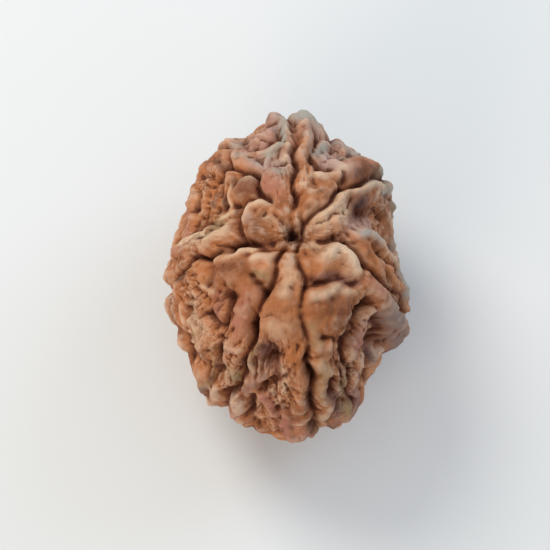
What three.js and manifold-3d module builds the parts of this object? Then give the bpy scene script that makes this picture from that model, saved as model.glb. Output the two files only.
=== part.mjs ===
// Seven mukhi rudraksha: the dry stone of a rudraksha fruit, grown as one solid piece.
// Millimetres, +Z up from the lower pole to the mouth, +Y along the stone's long side.
// Seven grooved lines run from the mouth to the lower pole, with bosses and ridges between them.

import * as THREE from "three";
import { mergeVertices } from "three/addons/utils/BufferGeometryUtils.js";
import Module from "manifold-3d";

// Driving dimensions of the stone's core, which lies under the bosses.
const CORE_HALF_HEIGHT = 10.1;
const CORE_SQUARENESS = 2.25; // 2 would be an ellipse from the side
const CORE_LENGTHENING = 1.03; // how far the plan is drawn out along Y
// Radius of the core in plan, every 22.5 degrees from +X towards +Y.
const CORE_PLAN = [
  7.85, 7.8, 9.85, 9.95, 11.9, 11.1, 10.15, 8.95, 9.25, 9.4, 10.2, 11.5, 12.2, 11.35, 8.5, 9.3,
];

// The stone was measured as it stands, seen from above its long side at this height over the horizon.
const VIEW_ELEVATION = THREE.MathUtils.degToRad(72);
const MEAN_RELIEF = 0.7; // the height over the core at which places were read
const MOUTH_HEIGHT = 9.8; // of the mouth's rim over the core's centre

const MOUTH_PIT = { half: 0.5, depth: 1.0 };
const POLE_DIMPLE = { reach: 2.2, depth: 0.2 };
const LINE_GROOVE = { half: 0.36, depth: 0.9 };
const LINE_VALLEY = { half: 1.0, depth: 0.12 };
const LINE_FADE = 0.75; // share of a line's depth that is missing at the mouth
const LINE_SWELL = { share: 0.35, pitch: 0.9, bend: 2 }; // and some places are shallower than others
const LINE_END_ANGLE = 164; // degrees down from the mouth, where the lines meet the stalk's scar
const BOSS_BLEND = 4.2; // per millimetre: higher keeps sharper creases between bosses
const BOSS_ROUNDNESS = 1.2; // 0.5 would be a half circle in section, 1 a parabola
const BOSS_GIRTH = 1.8; // how much wider a boss is at its foot than where it was read
const BOSS_PROMINENCE = 0.85; // how much higher a boss stands than was read
const WAVER = { reach: 0.18, pitch: 1.9, bend: 1.3 };
// A stroke whose end is turned this far from the view, at the outline, runs on down the stone.
const RUN_ON = { facing: 0.55, length: 3.2 };
// Out of sight the lines wander down, by these angles to either side in turn.
const WAY_DOWN = { steps: 9, waves: 1.15, wanders: [0.05, 0.07, 0.09] };
const EASING = 0.3; // share of each vertex's relief that comes from its neighbours

const SURFACE_DETAIL = 22; // subdivisions of each side of the icosahedron
const STALK_SCAR = { half: 2.3, height: 1.5 }; // the boss on the lower pole that the stone stands on
const SCAR_CUT = 0.5; // taken off it, which leaves the small flat spot
const HIDDEN_SEED = 7;
const STONE_COLOUR = 0x9c5f38;

// Places are millimetres right of the mouth and up from it, in the view that VIEW_ELEVATION sets.
// Each line is faint for about the given distance from the mouth.
const LINES = [
  // North.
  {
    faint: 2.2,
    path: [
      [0, 0.5], [0.1, 1.8], [0.1, 3.2], [0.1, 4.4], [0.2, 5.6], [0.2, 7.0], [0, 8.2], [0, 9.6],
    ],
  },
  // North-east.
  {
    faint: 2.6,
    path: [
      [0.4, 0.5], [1.2, 1.5], [2.2, 2.3], [3.1, 2.9], [3.8, 3.6], [4.3, 4.1], [5.3, 4.5],
      [6.4, 4.9], [7.4, 5.0],
    ],
  },
  // East.
  {
    faint: 5,
    path: [
      [0.6, 0], [1.8, -0.1], [2.9, -0.4], [4.2, -0.6], [5.0, -1.3], [5.6, -2.1], [6.8, -2.9],
      [7.7, -4.1], [8.4, -5.2], [9.0, -6.2],
    ],
  },
  // South.
  {
    faint: 6.5,
    path: [
      [0.3, -0.7], [0.7, -2.2], [0.9, -3.8], [0.8, -5.0], [0.8, -6.8], [1.0, -8.2], [1.3, -9.6],
      [1.5, -11.0], [1.7, -12.6], [1.8, -14.2], [1.9, -16.0],
    ],
  },
  // South-west.
  {
    faint: 1.8,
    path: [
      [-0.4, -0.6], [-1.1, -2.0], [-1.3, -3.0], [-1.7, -4.0], [-2.3, -5.0], [-2.5, -6.0],
      [-2.9, -7.1], [-3.4, -8.3], [-3.8, -9.6], [-4.0, -11.0], [-4.6, -12.2], [-5.3, -13.3],
    ],
  },
  // West.
  {
    faint: 3,
    path: [
      [-0.6, -0.1], [-1.8, -0.6], [-3.2, -0.8], [-4.4, -0.7], [-5.3, -1.4], [-6.4, -1.6],
      [-7.4, -1.7], [-8.6, -1.9],
    ],
  },
  // North-west.
  {
    faint: 2.4,
    path: [
      [-0.4, 0.4], [-1.1, 1.5], [-1.9, 2.6], [-2.5, 3.3], [-2.8, 4.2], [-2.9, 5.0], [-3.9, 5.3],
      [-4.9, 5.7], [-5.3, 6.3], [-5.0, 7.4],
    ],
  },
];

// Each boss or ridge: half its width, its height, and the line that its top follows, outer end last.
const BOSSES = [
  // Between the north-west and north lines.
  { half: 0.35, height: 0.2, path: [[-4.6, 7.9], [-3.6, 8.2], [-2.4, 8.8], [-1.4, 9.4], [-0.5, 9.9]] },
  { half: 0.3, height: 0.45, path: [[-0.5, 8.8], [-1.1, 8.0], [-2.5, 7.2], [-3.7, 7.0], [-4.7, 7.4]] },
  { half: 0.4, height: 0.8, path: [[-0.3, 6.6], [-0.3, 8.2], [-0.4, 9.6]] },
  { half: 0.6, height: 0.8, path: [[-3.5, 5.9], [-4.3, 6.3]] },
  { half: 1, height: 0.9, path: [[-0.9, 4.8], [-1.7, 4.7]] },
  { half: 0.9, height: 0.55, path: [[-1.3, 4.0], [-0.8, 2.8], [-0.5, 1.5]] },
  // Between the north and north-east lines.
  { half: 1.0, height: 1.3, path: [[1.1, 9.6], [1.2, 10.6]] },
  { half: 0.7, height: 0.8, path: [[1.9, 9.2], [2.2, 9.6]] },
  { half: 0.45, height: 0.95, path: [[1.2, 3.6], [0.9, 5.0], [0.9, 6.8], [1.0, 8.6]] },
  { half: 0.75, height: 0.9, path: [[4.0, 7.4], [4.4, 7.9]] },
  { half: 0.45, height: 0.55, path: [[2.6, 7.8], [3.6, 8.1]] },
  { half: 0.45, height: 0.75, path: [[1.5, 4.9], [2.7, 5.0], [3.6, 5.4], [3.8, 6.2]] },
  { half: 0.9, height: 0.8, path: [[1.4, 3.4], [2.5, 3.9], [3.4, 4.4]] },
  { half: 0.7, height: 0.5, path: [[0.8, 1.7], [1.8, 2.8]] },
  { half: 1.15, height: 1.2, path: [[4.8, 5.5], [5.7, 5.8], [6.4, 5.9]] },
  // Between the north-east and east lines.
  {
    half: 0.45, height: 1,
    path: [
      [2.7, 2.0], [3.6, 3.0], [4.5, 3.8], [5.7, 4.1], [6.9, 4.4], [7.7, 4.4],
    ],
  },
  { half: 0.55, height: 0.9, path: [[8.1, 4.2], [8.6, 3.4], [8.4, 2.5]] },
  { half: 1.1, height: 0.7, path: [[3.2, 1.6], [4.4, 2.6]] },
  { half: 0.7, height: 0.6, path: [[5.6, 3.4], [7.0, 3.4]] },
  { half: 0.6, height: 0.45, path: [[5.2, 1.2], [6.4, 1.0], [7.0, 1.6]] },
  { half: 0.6, height: 0.65, path: [[7.6, 2.2], [8.0, 0.6], [8.4, -0.8]] },
  { half: 0.6, height: 0.5, path: [[1.0, 0.8], [2.4, 1.2]] },
  { half: 0.6, height: 0.5, path: [[1.8, 0.3], [3.6, 0.6]] },
  { half: 0.35, height: 0.6, path: [[4.3, 0.7], [4.6, -0.6]] },
  { half: 0.5, height: 1.15, path: [[5.1, 0.1], [6.0, 0.3], [6.8, -0.3], [7.5, -1.2]] },
  { half: 0.95, height: 1.1, path: [[5.7, -0.8], [6.5, -1.7], [7.1, -2.5]] },
  { half: 0.4, height: 0.7, path: [[8.1, -2.9], [8.3, -3.2]] },
  { half: 0.65, height: 1, path: [[8.8, -1.6], [9.4, -2.8], [9.5, -4.0]] },
  { half: 0.5, height: 0.9, path: [[9.4, -5.2], [9.4, -6.0]] },
  // Between the east and south lines.
  { half: 0.5, height: 0.5, path: [[1.2, -0.5], [2.0, -0.9]] },
  { half: 0.5, height: 1.15, path: [[2.8, -1.2], [3.6, -0.8], [4.3, -1.3], [4.7, -2.0], [5.2, -2.6]] },
  { half: 1.1, height: 1, path: [[3.1, -2.0], [4.2, -2.6]] },
  { half: 0.75, height: 0.85, path: [[1.9, -2.2], [2.4, -2.5]] },
  { half: 0.4, height: 0.95, path: [[1.5, -4.7], [2.2, -4.9], [3.0, -4.4], [3.9, -4.1], [4.7, -4.5]] },
  { half: 1.4, height: 0.95, path: [[2.5, -6.0], [3.9, -5.6]] },
  { half: 0.8, height: 0.57, path: [[2.7, -7.4], [3.4, -7.2]] },
  { half: 0.5, height: 0.7, path: [[5.4, -3.9], [5.5, -5.2]] },
  { half: 0.38, height: 0.7, path: [[1.3, -4.6], [1.4, -6.4], [1.6, -8.0], [2.0, -9.4]] },
  { half: 0.8, height: 1, path: [[6.3, -3.5], [7.1, -4.4], [7.6, -5.6]] },
  { half: 1, height: 0.94, path: [[7.9, -6.2], [8.2, -7.4], [8.2, -8.7]] },
  { half: 0.5, height: 0.82, path: [[6.3, -6.3], [5.8, -7.6], [5.2, -8.7], [4.8, -9.4]] },
  { half: 0.22, height: 0.33, path: [[3.0, -8.2], [3.1, -9.2]] },
  { half: 0.22, height: 0.33, path: [[3.6, -8.2], [3.5, -9.3]] },
  {
    half: 0.55, height: 0.73,
    path: [
      [2.9, -9.2], [2.6, -10.6], [2.4, -12.2], [2.4, -14.0], [2.5, -16.0],
    ],
  },
  { half: 0.6, height: 0.43, path: [[3.9, -10.8], [3.8, -12.8]] },
  { half: 0.45, height: 0.53, path: [[5.8, -9.9], [5.3, -11.4], [5.0, -13.0]] },
  { half: 0.4, height: 0.4, path: [[6.8, -9.8], [6.2, -11.2], [5.4, -13.0]] },
  { half: 0.45, height: 0.53, path: [[5.2, -13.2], [5.1, -13.8]] },
  { half: 0.5, height: 0.59, path: [[4.6, -14.0], [4.6, -15.0]] },
  { half: 0.45, height: 0.53, path: [[3.4, -14.4], [3.2, -15.6]] },
  // Between the south and south-west lines.
  { half: 0.65, height: 0.65, path: [[0.1, -1.0], [0.0, -2.2], [-0.3, -3.4], [-0.6, -4.4]] },
  { half: 1.15, height: 0.95, path: [[-0.7, -5.4], [-0.9, -6.6], [-1.2, -7.6]] },
  { half: 0.4, height: 0.75, path: [[0.3, -3.2], [0.4, -5.0], [0.4, -7.0]] },
  { half: 0.75, height: 0.66, path: [[0.1, -8.7], [0.4, -10.4], [0.8, -12.2], [0.9, -14.0]] },
  { half: 0.4, height: 0.57, path: [[-2.2, -6.2], [-2.7, -7.6], [-3.2, -9.2], [-3.5, -10.8]] },
  { half: 0.3, height: 0.33, path: [[-0.5, -10.8], [-0.8, -12.6]] },
  { half: 0.5, height: 0.46, path: [[-2.2, -10.9], [-3.0, -11.6], [-4.0, -12.4], [-4.6, -13.2]] },
  { half: 0.5, height: 1.4, path: [[-4.3, -13.4], [-4.6, -14.6]] },
  { half: 0.35, height: 0.4, path: [[-2.7, -13.2], [-1.9, -14.2], [-1.4, -15.0]] },
  { half: 0.35, height: 0.43, path: [[-1.7, -12.8], [-0.9, -13.8], [-0.4, -14.8]] },
  { half: 0.35, height: 0.43, path: [[-0.7, -12.8], [0.1, -13.8], [0.6, -14.8]] },
  { half: 0.6, height: 0.56, path: [[-0.2, -15.0], [0.0, -16.0]] },
  { half: 0.6, height: 0.59, path: [[1.0, -15.0], [1.1, -16.1]] },
  // Between the south-west and west lines.
  { half: 0.35, height: 1, path: [[-3.4, -1.1], [-4.3, -1.3], [-5.2, -1.8], [-6.2, -2.0]] },
  { half: 0.35, height: 0.95, path: [[-1.5, -2.6], [-2.1, -1.9], [-3.2, -2.1]] },
  { half: 1.05, height: 1.05, path: [[-2.2, -2.7], [-3.4, -2.6], [-5.1, -2.9]] },
  { half: 0.8, height: 0.7, path: [[-4.4, -3.8], [-5.4, -3.6]] },
  { half: 0.9, height: 0.95, path: [[-3.3, -4.9], [-3.7, -6.2], [-4.1, -7.6], [-4.5, -8.8]] },
  { half: 0.5, height: 0.5, path: [[-6.3, -5.0], [-6.1, -6.2], [-6.0, -7.4]] },
  { half: 0.25, height: 0.5, path: [[-6.3, -4.2], [-6.9, -4.6], [-7.7, -4.3]] },
  { half: 0.25, height: 0.5, path: [[-7.5, -5.1], [-7.9, -6.3]] },
  { half: 0.25, height: 0.45, path: [[-8.0, -5.6], [-8.8, -5.5]] },
  { half: 1, height: 0.55, path: [[-7.4, -2.8], [-8.4, -3.0]] },
  { half: 0.55, height: 0.75, path: [[-9.2, -2.3], [-9.3, -2.8]] },
  { half: 0.5, height: 0.75, path: [[-9.4, -4.4], [-9.5, -4.8]] },
  { half: 0.55, height: 0.7, path: [[-9.1, -6.2], [-9.0, -6.8]] },
  { half: 0.8, height: 0.6, path: [[-7.6, -6.4], [-7.0, -7.8], [-6.4, -9.4]] },
  { half: 0.5, height: 0.4, path: [[-4.5, -9.2], [-4.4, -10.6]] },
  { half: 0.4, height: 0.49, path: [[-5.5, -8.8], [-5.4, -9.8], [-5.1, -10.8], [-4.9, -11.6]] },
  { half: 0.5, height: 0.4, path: [[-6.6, -9.4], [-6.3, -11.0]] },
  { half: 0.65, height: 0.46, path: [[-5.3, -11.9], [-5.5, -12.8]] },
  { half: 0.4, height: 0.46, path: [[-8.3, -7.2], [-7.6, -9.0], [-7.2, -10.8], [-6.9, -12.4]] },
  { half: 0.65, height: 1.6, path: [[-6.3, -12.2], [-6.3, -13.4]] },
  // Between the west and north-west lines.
  { half: 1, height: 0.9, path: [[-3.0, 1.5], [-2.7, 0.6]] },
  {
    half: 0.35, height: 0.95,
    path: [
      [-0.9, 0.5], [-1.2, 1.5], [-1.8, 2.3], [-2.6, 2.7], [-3.4, 2.3], [-3.7, 1.5],
    ],
  },
  { half: 0.8, height: 1.05, path: [[-3.6, 4.3], [-3.8, 3.8]] },
  { half: 0.5, height: 0.8, path: [[-5.1, 5.1], [-5.3, 4.6]] },
  { half: 0.65, height: 1.05, path: [[-5.3, 6.8], [-5.6, 7.3]] },
  { half: 0.55, height: 0.9, path: [[-6.4, 5.6], [-6.8, 6.0]] },
  { half: 0.2, height: 0.5, path: [[-5.1, 4.2], [-5.2, 2.2]] },
  { half: 0.28, height: 0.55, path: [[-6.2, 4.6], [-6.4, 2.6]] },
  { half: 0.3, height: 0.6, path: [[-7.0, 5.0], [-7.3, 3.6], [-7.5, 2.0]] },
  { half: 0.35, height: 0.6, path: [[-8.0, 3.4], [-8.5, 2.0]] },
  { half: 0.3, height: 0.5, path: [[-5.8, 1.5], [-4.7, 2.0]] },
  { half: 0.55, height: 0.7, path: [[-5.1, 0.9], [-5.2, 0.4]] },
  { half: 0.7, height: 0.55, path: [[-6.4, 1.2], [-6.5, 0.6]] },
  { half: 0.25, height: 0.45, path: [[-7.2, 1.0], [-7.6, 0.3]] },
  { half: 0.5, height: 0.6, path: [[-8.4, 1.6], [-8.7, 0.4]] },
  { half: 0.55, height: 1, path: [[-5.1, 0.0], [-6.2, -0.2], [-7.4, -0.5], [-8.6, -0.4]] },
  { half: 0.6, height: 0.6, path: [[-6.8, -1.0], [-8.4, -1.2]] },
  { half: 0.35, height: 0.5, path: [[-1.2, -0.1], [-1.1, -1.2]] },
];

// Each hollow: half its width, its depth, and the line of its floor.
const HOLLOWS = [
  { half: 0.3, depth: 0.5, path: [[-2.9, -7.0], [-3.5, -8.6], [-3.9, -10.0], [-4.1, -11.2]] },
  { half: 0.3, depth: 0.6, path: [[4.1, 6.2], [4.9, 7.1], [5.5, 7.5]] },
  { half: 0.35, depth: 0.6, path: [[2.4, 9.2], [3.0, 8.8]] },
  { half: 0.3, depth: 0.5, path: [[-5.6, -13.0], [-5.4, -13.6]] },
  { half: 0.7, depth: 0.3, path: [[-1.0, 6.0], [-2.4, 6.3]] },
  { half: 0.5, depth: 0.3, path: [[-1.2, 8.7], [-2.6, 7.9], [-3.8, 7.6]] },
  { half: 0.3, depth: 0.5, path: [[-2.9, 5.0], [-3.2, 5.1]] },
  { half: 0.35, depth: 0.55, path: [[1.8, 8.7], [2.8, 8.0]] },
  { half: 0.5, depth: 0.55, path: [[1.8, 6.2], [3.0, 5.8]] },
  { half: 0.3, depth: 0.6, path: [[4.0, 5.4], [4.1, 4.4]] },
  { half: 0.35, depth: 0.4, path: [[6.8, 5.6], [6.7, 5.1]] },
  { half: 0.8, depth: 0.45, path: [[5.2, 2.2], [6.2, 2.3]] },
  { half: 0.3, depth: 0.5, path: [[7.9, 3.4], [7.8, 2.8]] },
  { half: 0.4, depth: 0.8, path: [[6.8, 1.0], [7.3, -0.2], [8.0, -0.8]] },
  { half: 0.35, depth: 0.3, path: [[2.9, -0.2], [3.4, -0.3]] },
  { half: 0.35, depth: 0.3, path: [[1.6, -3.4], [2.6, -3.8], [3.8, -3.4], [4.9, -3.7]] },
  { half: 0.4, depth: 0.9, path: [[5.9, -5.4], [5.5, -6.5], [4.8, -7.4], [4.3, -8.6], [4.3, -10.2]] },
  { half: 0.45, depth: 0.9, path: [[7.2, -6.3], [7.1, -7.8], [6.2, -8.8], [5.4, -9.8]] },
  { half: 0.3, depth: 0.7, path: [[4.8, -10.8], [4.7, -12.6]] },
  { half: 0.35, depth: 0.7, path: [[3.2, -11.8], [3.2, -12.8]] },
  { half: 0.5, depth: 0.5, path: [[1.6, -11.2], [1.8, -13.2], [2.0, -15.6]] },
  { half: 0.35, depth: 0.8, path: [[4.1, -13.4], [3.4, -14.4], [2.9, -15.2]] },
  { half: 0.7, depth: 0.45, path: [[-1.9, -9.1], [-1.5, -10.7]] },
  { half: 0.35, depth: 0.6, path: [[-2.0, -12.0], [-2.6, -12.8]] },
  { half: 0.35, depth: 0.6, path: [[-3.2, -13.2], [-3.6, -13.8]] },
  { half: 0.3, depth: 0.7, path: [[-3.9, -10.6], [-4.0, -11.4]] },
  { half: 0.25, depth: 0.7, path: [[-3.1, -3.4], [-2.8, -4.2], [-2.3, -4.9]] },
  { half: 0.35, depth: 0.5, path: [[-5.3, -5.0], [-5.1, -6.6], [-5.9, -7.3], [-6.8, -6.6]] },
  { half: 0.3, depth: 0.6, path: [[-6.0, -9.3], [-5.9, -10.6]] },
  { half: 0.3, depth: 0.7, path: [[-7.1, -10.6], [-6.8, -11.4], [-6.3, -12.3]] },
  { half: 0.4, depth: 0.5, path: [[-4.7, -0.3], [-4.9, -1.0]] },
  { half: 0.3, depth: 0.5, path: [[-4.2, 1.7], [-4.2, -0.2]] },
  { half: 0.3, depth: 0.5, path: [[-4.7, 2.4], [-5.6, 2.5]] },
  { half: 0.3, depth: 0.5, path: [[-5.4, 6.2], [-6.0, 5.3], [-5.8, 4.6]] },
  { half: 0.25, depth: 0.4, path: [[-7.4, -0.1], [-7.8, -0.1]] },
];

// Bosses out of sight follow a rule: rows down each face, with a lip along each line.
// A pair of values is the least and the most of what is drawn.
const HIDDEN = {
  firstAngle: 50, // degrees down from the mouth
  lastAngle: 152,
  meanRadius: 10,
  rowStep: 2.1,
  acrossStep: 2.2,
  shake: 0.3,
  length: [0.6, 2.2],
  slant: [-0.9, 0.9],
  half: [0.62, 1.12],
  halfOfFace: 0.28, // the most of its face that half a boss takes up
  height: [0.75, 1.5],
  fullFace: 3, // narrower faces have lower bosses and lips
  lippedFace: 1.8, // and still narrower ones no lip
  lipOffset: [0.72, 0.98],
  lipLength: [1.15, 1.9],
  lipHeight: [0.74, 1.26],
  lipHalf: 0.5,
  facing: 0.12, // a place turned this far to the view, or further, is in sight
};

// A seeded draw from 0 to 1, the same on every run.
function seededDraw(seed) {
  let state = seed;
  return () => {
    state = (state + 0x6d2b79f5) | 0;
    let t = Math.imul(state ^ (state >>> 15), 1 | state);
    t = (t + Math.imul(t ^ (t >>> 7), 61 | t)) ^ t;
    return ((t ^ (t >>> 14)) >>> 0) / 4294967296;
  };
}

// Radius of the core in plan at an angle, as a smooth closed curve through CORE_PLAN.
function planRadius(angle) {
  const count = CORE_PLAN.length;
  const turn = ((angle / (2 * Math.PI)) * count + 2 * count) % count;
  const first = Math.floor(turn);
  const t = turn - first;
  const [a, b, c, d] = [-1, 0, 1, 2].map((k) => CORE_PLAN[(first + k + count) % count]);
  return b + 0.5 * t * (c - a + t * (2 * a - 5 * b + 4 * c - d + t * (3 * (b - c) + d - a)));
}

// The core's surface along a direction from its centre, with a relief added evenly all over.
function coreRadius(direction, relief = 0) {
  const x = direction.x;
  const y = direction.y / CORE_LENGTHENING;
  const across = Math.hypot(x, y);
  const plan = planRadius(Math.atan2(y, x)) + relief;
  const p = CORE_SQUARENESS;
  const sum = (across / plan) ** p + (Math.abs(direction.z) / (CORE_HALF_HEIGHT + relief)) ** p;
  return sum ** (-1 / p);
}

function corePoint(direction) {
  return direction.clone().multiplyScalar(coreRadius(direction));
}

// The way out of the core, square to an ellipsoid of its size.
function outward(point) {
  const [halfWidth, halfLength] = [8.6, 12.2 * CORE_LENGTHENING];
  return new THREE.Vector3(
    point.x / halfWidth ** 2,
    point.y / halfLength ** 2,
    point.z / CORE_HALF_HEIGHT ** 2,
  ).normalize();
}

const angleDown = (point) => Math.acos(point.z / point.length());

// The place on the core at an angle down from the mouth and a longitude from +X.
function atAngles(down, longitude) {
  return corePoint(new THREE.Vector3(
    Math.sin(down) * Math.cos(longitude),
    Math.sin(down) * Math.sin(longitude),
    Math.cos(down),
  ));
}

const VIEW = {
  along: new THREE.Vector3(0, Math.cos(VIEW_ELEVATION), -Math.sin(VIEW_ELEVATION)),
  up: new THREE.Vector3(0, Math.sin(VIEW_ELEVATION), Math.cos(VIEW_ELEVATION)),
};

// The place on the core under a point of the view, or the nearest place on its outline.
function placeInView([right, up]) {
  const start = new THREE.Vector3(right, 0, MOUTH_HEIGHT).addScaledVector(VIEW.up, up);
  const reach = 30;
  const steps = 1200;
  let nearest = Infinity;
  let found = start;
  for (let k = 0; k <= steps; k++) {
    const point = start.clone().addScaledVector(VIEW.along, reach * ((2 * k) / steps - 1));
    const outside = point.length() / coreRadius(point.clone().normalize(), MEAN_RELIEF);
    if (outside < nearest) {
      nearest = outside;
      found = point;
    }
    if (outside <= 1) break;
  }
  return corePoint(found.normalize());
}

// A line's way on from its last place in sight to the lower pole, wandering a little.
function wayToLowerPole(last, wander) {
  const longitude = Math.atan2(last.y, last.x);
  const from = angleDown(last);
  const end = THREE.MathUtils.degToRad(LINE_END_ANGLE);
  return Array.from({ length: WAY_DOWN.steps }, (_, k) => {
    const t = (k + 1) / WAY_DOWN.steps;
    const turn = wander * Math.sin(2 * Math.PI * WAY_DOWN.waves * t) * (1 - t / 2);
    return atAngles(from + (end - from) * t, longitude + turn);
  });
}

// A stroke that reaches the outline, drawn on down the stone past what the view shows.
function withRunOn(points) {
  const last = points.at(-1);
  if (-outward(last).dot(VIEW.along) > RUN_ON.facing) return points;
  const down = angleDown(last) + RUN_ON.length / last.length();
  return [...points, atAngles(down, Math.atan2(last.y, last.x))];
}

function lineRoutes() {
  return LINES.map(({ path }, k) => {
    const seen = path.map(placeInView);
    return [...seen, ...wayToLowerPole(seen.at(-1), WAY_DOWN.wanders[k % WAY_DOWN.wanders.length])];
  });
}

// Longitude of a route where it passes an angle down from the mouth.
function longitudeAt(route, down) {
  const angles = route.map(angleDown);
  let k = angles.findIndex((a) => a >= down);
  if (k < 1) k = k < 0 ? route.length - 1 : 1;
  const t = THREE.MathUtils.clamp((down - angles[k - 1]) / (angles[k] - angles[k - 1]), 0, 1);
  const mid = route[k - 1].clone().lerp(route[k], t);
  return Math.atan2(mid.y, mid.x);
}

function isInSight({ points: [start, end] }) {
  return -outward(start.clone().lerp(end, 0.5)).dot(VIEW.along) > HIDDEN.facing;
}

// The face between two lines, at an angle down from the mouth.
function faceBetween(line, next, down) {
  const left = longitudeAt(line, down);
  const gap = (longitudeAt(next, down) - left + 4 * Math.PI) % (2 * Math.PI);
  const middle = atAngles(down, left + gap / 2);
  const around = Math.hypot(middle.x, middle.y);
  const width = gap * around;
  return { down, left, gap, around, width, fullness: Math.min(1, width / HIDDEN.fullFace) };
}

// The two ends of a short stroke about a place, at a slant to the way down.
function shortStroke(down, longitude, around, length, slant) {
  return [-0.5, 0.5].map((side) => atAngles(
    down + (side * length * Math.cos(slant)) / HIDDEN.meanRadius,
    longitude + (side * length * Math.sin(slant)) / around,
  ));
}

function rowOfBosses({ down, left, around, width, fullness }, draw) {
  const within = ([least, most]) => least + (most - least) * draw();
  const [margin] = HIDDEN.lipOffset;
  const inner = width - 2 * margin;
  const columns = Math.max(1, Math.round(inner / HIDDEN.acrossStep));
  return Array.from({ length: columns }, (_, column) => {
    const across = margin + (inner * (column + 0.5 + within([-HIDDEN.shake, HIDDEN.shake]))) / columns;
    const shakeDown = within([-0.5, 0.5]) * HIDDEN.rowStep;
    const [least, most] = HIDDEN.length;
    const length = least + (most - least) * draw() ** 2;
    const slant = within(HIDDEN.slant);
    const half = Math.min(within(HIDDEN.half), width * HIDDEN.halfOfFace);
    const height = within(HIDDEN.height) * fullness;
    const centre = down + shakeDown / HIDDEN.meanRadius;
    return { half, height, points: shortStroke(centre, left + across / around, around, length, slant) };
  });
}

function lipsOfRow({ down, left, gap, around, width, fullness }, draw) {
  if (width < HIDDEN.lippedFace) return [];
  const within = ([least, most]) => least + (most - least) * draw();
  return [[left, 1], [left + gap, -1]].map(([edge, side]) => {
    const longitude = edge + (side * within(HIDDEN.lipOffset)) / around;
    const length = within(HIDDEN.lipLength);
    const height = within(HIDDEN.lipHeight) * fullness;
    return { half: HIDDEN.lipHalf, height, points: shortStroke(down, longitude, around, length, 0) };
  });
}

// Bosses and lips where the stone turns away from the view.
function hiddenBosses(routes) {
  const draw = seededDraw(HIDDEN_SEED);
  const first = THREE.MathUtils.degToRad(HIDDEN.firstAngle);
  const last = THREE.MathUtils.degToRad(HIDDEN.lastAngle);
  const rows = Math.floor(((last - first) * HIDDEN.meanRadius) / HIDDEN.rowStep);
  const equator = Math.PI / 2;
  const inOrder = [...routes].sort((a, b) => longitudeAt(a, equator) - longitudeAt(b, equator));
  const found = [];
  inOrder.forEach((line, k) => {
    const next = inOrder[(k + 1) % inOrder.length];
    for (let row = 0; row <= rows; row++) {
      const face = faceBetween(line, next, first + ((last - first) * row) / rows);
      found.push(...rowOfBosses(face, draw), ...lipsOfRow(face, draw));
    }
  });
  return found.filter((stroke) => !isInSight(stroke));
}

// Shortest distance from a point to a route of straight stretches.
function distanceTo(route, point) {
  const stretch = new THREE.Line3();
  const near = new THREE.Vector3();
  let best = Infinity;
  for (let k = 0; k + 1 < route.length; k++) {
    stretch.set(route[k], route[k + 1]).closestPointToPoint(point, true, near);
    best = Math.min(best, near.distanceTo(point));
  }
  return best;
}

// A small smooth drift, which keeps feet and creases from being true circles and straights.
function wavered({ x, y, z }) {
  const drift = (along, across) => {
    return WAVER.reach * Math.sin(WAVER.pitch * along + WAVER.bend * Math.sin(across));
  };
  return new THREE.Vector3(x + drift(y, z), y + drift(z, x), z + drift(x, y));
}

const bell = (distance, half) => Math.exp(-((distance / half) ** 2));

function dome(distance, half) {
  const share = distance / (half * BOSS_GIRTH);
  return share < 1 ? (1 - share * share) ** BOSS_ROUNDNESS : 0;
}

// How deep the nearest line cuts at a place: less where it is faint, and unevenly along it.
function furrowAt({ x, y, z }, point, lines) {
  const { share: swellShare, pitch, bend } = LINE_SWELL;
  const swell = (1 + Math.sin(pitch * (x + z) + bend * Math.sin(pitch * y))) / 2;
  const evenness = 1 - swellShare * swell;
  const fromAxis = Math.hypot(x, y);
  const cuts = lines.map(({ faint, points }) => {
    const distance = distanceTo(points, point);
    const share = evenness * (1 - LINE_FADE * bell(fromAxis, faint));
    return share * LINE_GROOVE.depth * bell(distance, LINE_GROOVE.half)
      + LINE_VALLEY.depth * bell(distance, LINE_VALLEY.half);
  });
  return Math.max(...cuts);
}

// A stroke with its reach about its middle, so that places far from it are passed over quickly.
function withReach({ points, ...sizes }) {
  const middle = points.reduce((sum, p) => sum.add(p), new THREE.Vector3()).divideScalar(points.length);
  const halfLength = Math.max(...points.map((p) => p.distanceTo(middle)));
  return { ...sizes, points, middle, reach: halfLength + 3 * sizes.half };
}

// Height of the stone's surface over its core at a place on the core.
function reliefAt(place, shape) {
  const point = wavered(place);
  const isNear = ({ middle, reach }) => middle.distanceTo(point) < reach;
  let sum = 0;
  for (const { half, height, points } of shape.bosses.filter(isNear)) {
    sum += Math.exp(BOSS_BLEND * BOSS_PROMINENCE * height * dome(distanceTo(points, point), half)) - 1;
  }
  let relief = Math.log(1 + sum) / BOSS_BLEND;
  for (const { half, depth, points } of shape.hollows.filter(isNear)) {
    relief -= depth * bell(distanceTo(points, point), half);
  }
  relief -= furrowAt(place, point, shape.lines);
  const fromAxis = Math.hypot(place.x, place.y);
  if (place.z < 0) return relief + STALK_SCAR.height * bell(fromAxis, STALK_SCAR.half);
  relief -= POLE_DIMPLE.depth * bell(fromAxis, POLE_DIMPLE.reach);
  return relief - MOUTH_PIT.depth * bell(fromAxis, MOUTH_PIT.half);
}

// Each height drawn towards the mean of its neighbours', so that no crease is finer than the mesh.
function eased(heights, triangles) {
  const sums = new Float64Array(heights.length);
  const counts = new Uint8Array(heights.length);
  for (let k = 0; k < triangles.length; k += 3) {
    const corners = [triangles[k], triangles[k + 1], triangles[k + 2]];
    const total = heights[corners[0]] + heights[corners[1]] + heights[corners[2]];
    for (const corner of corners) {
      sums[corner] += (total - heights[corner]) / 2;
      counts[corner] += 1;
    }
  }
  return heights.map((height, k) => height + EASING * (sums[k] / counts[k] - height));
}

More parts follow.
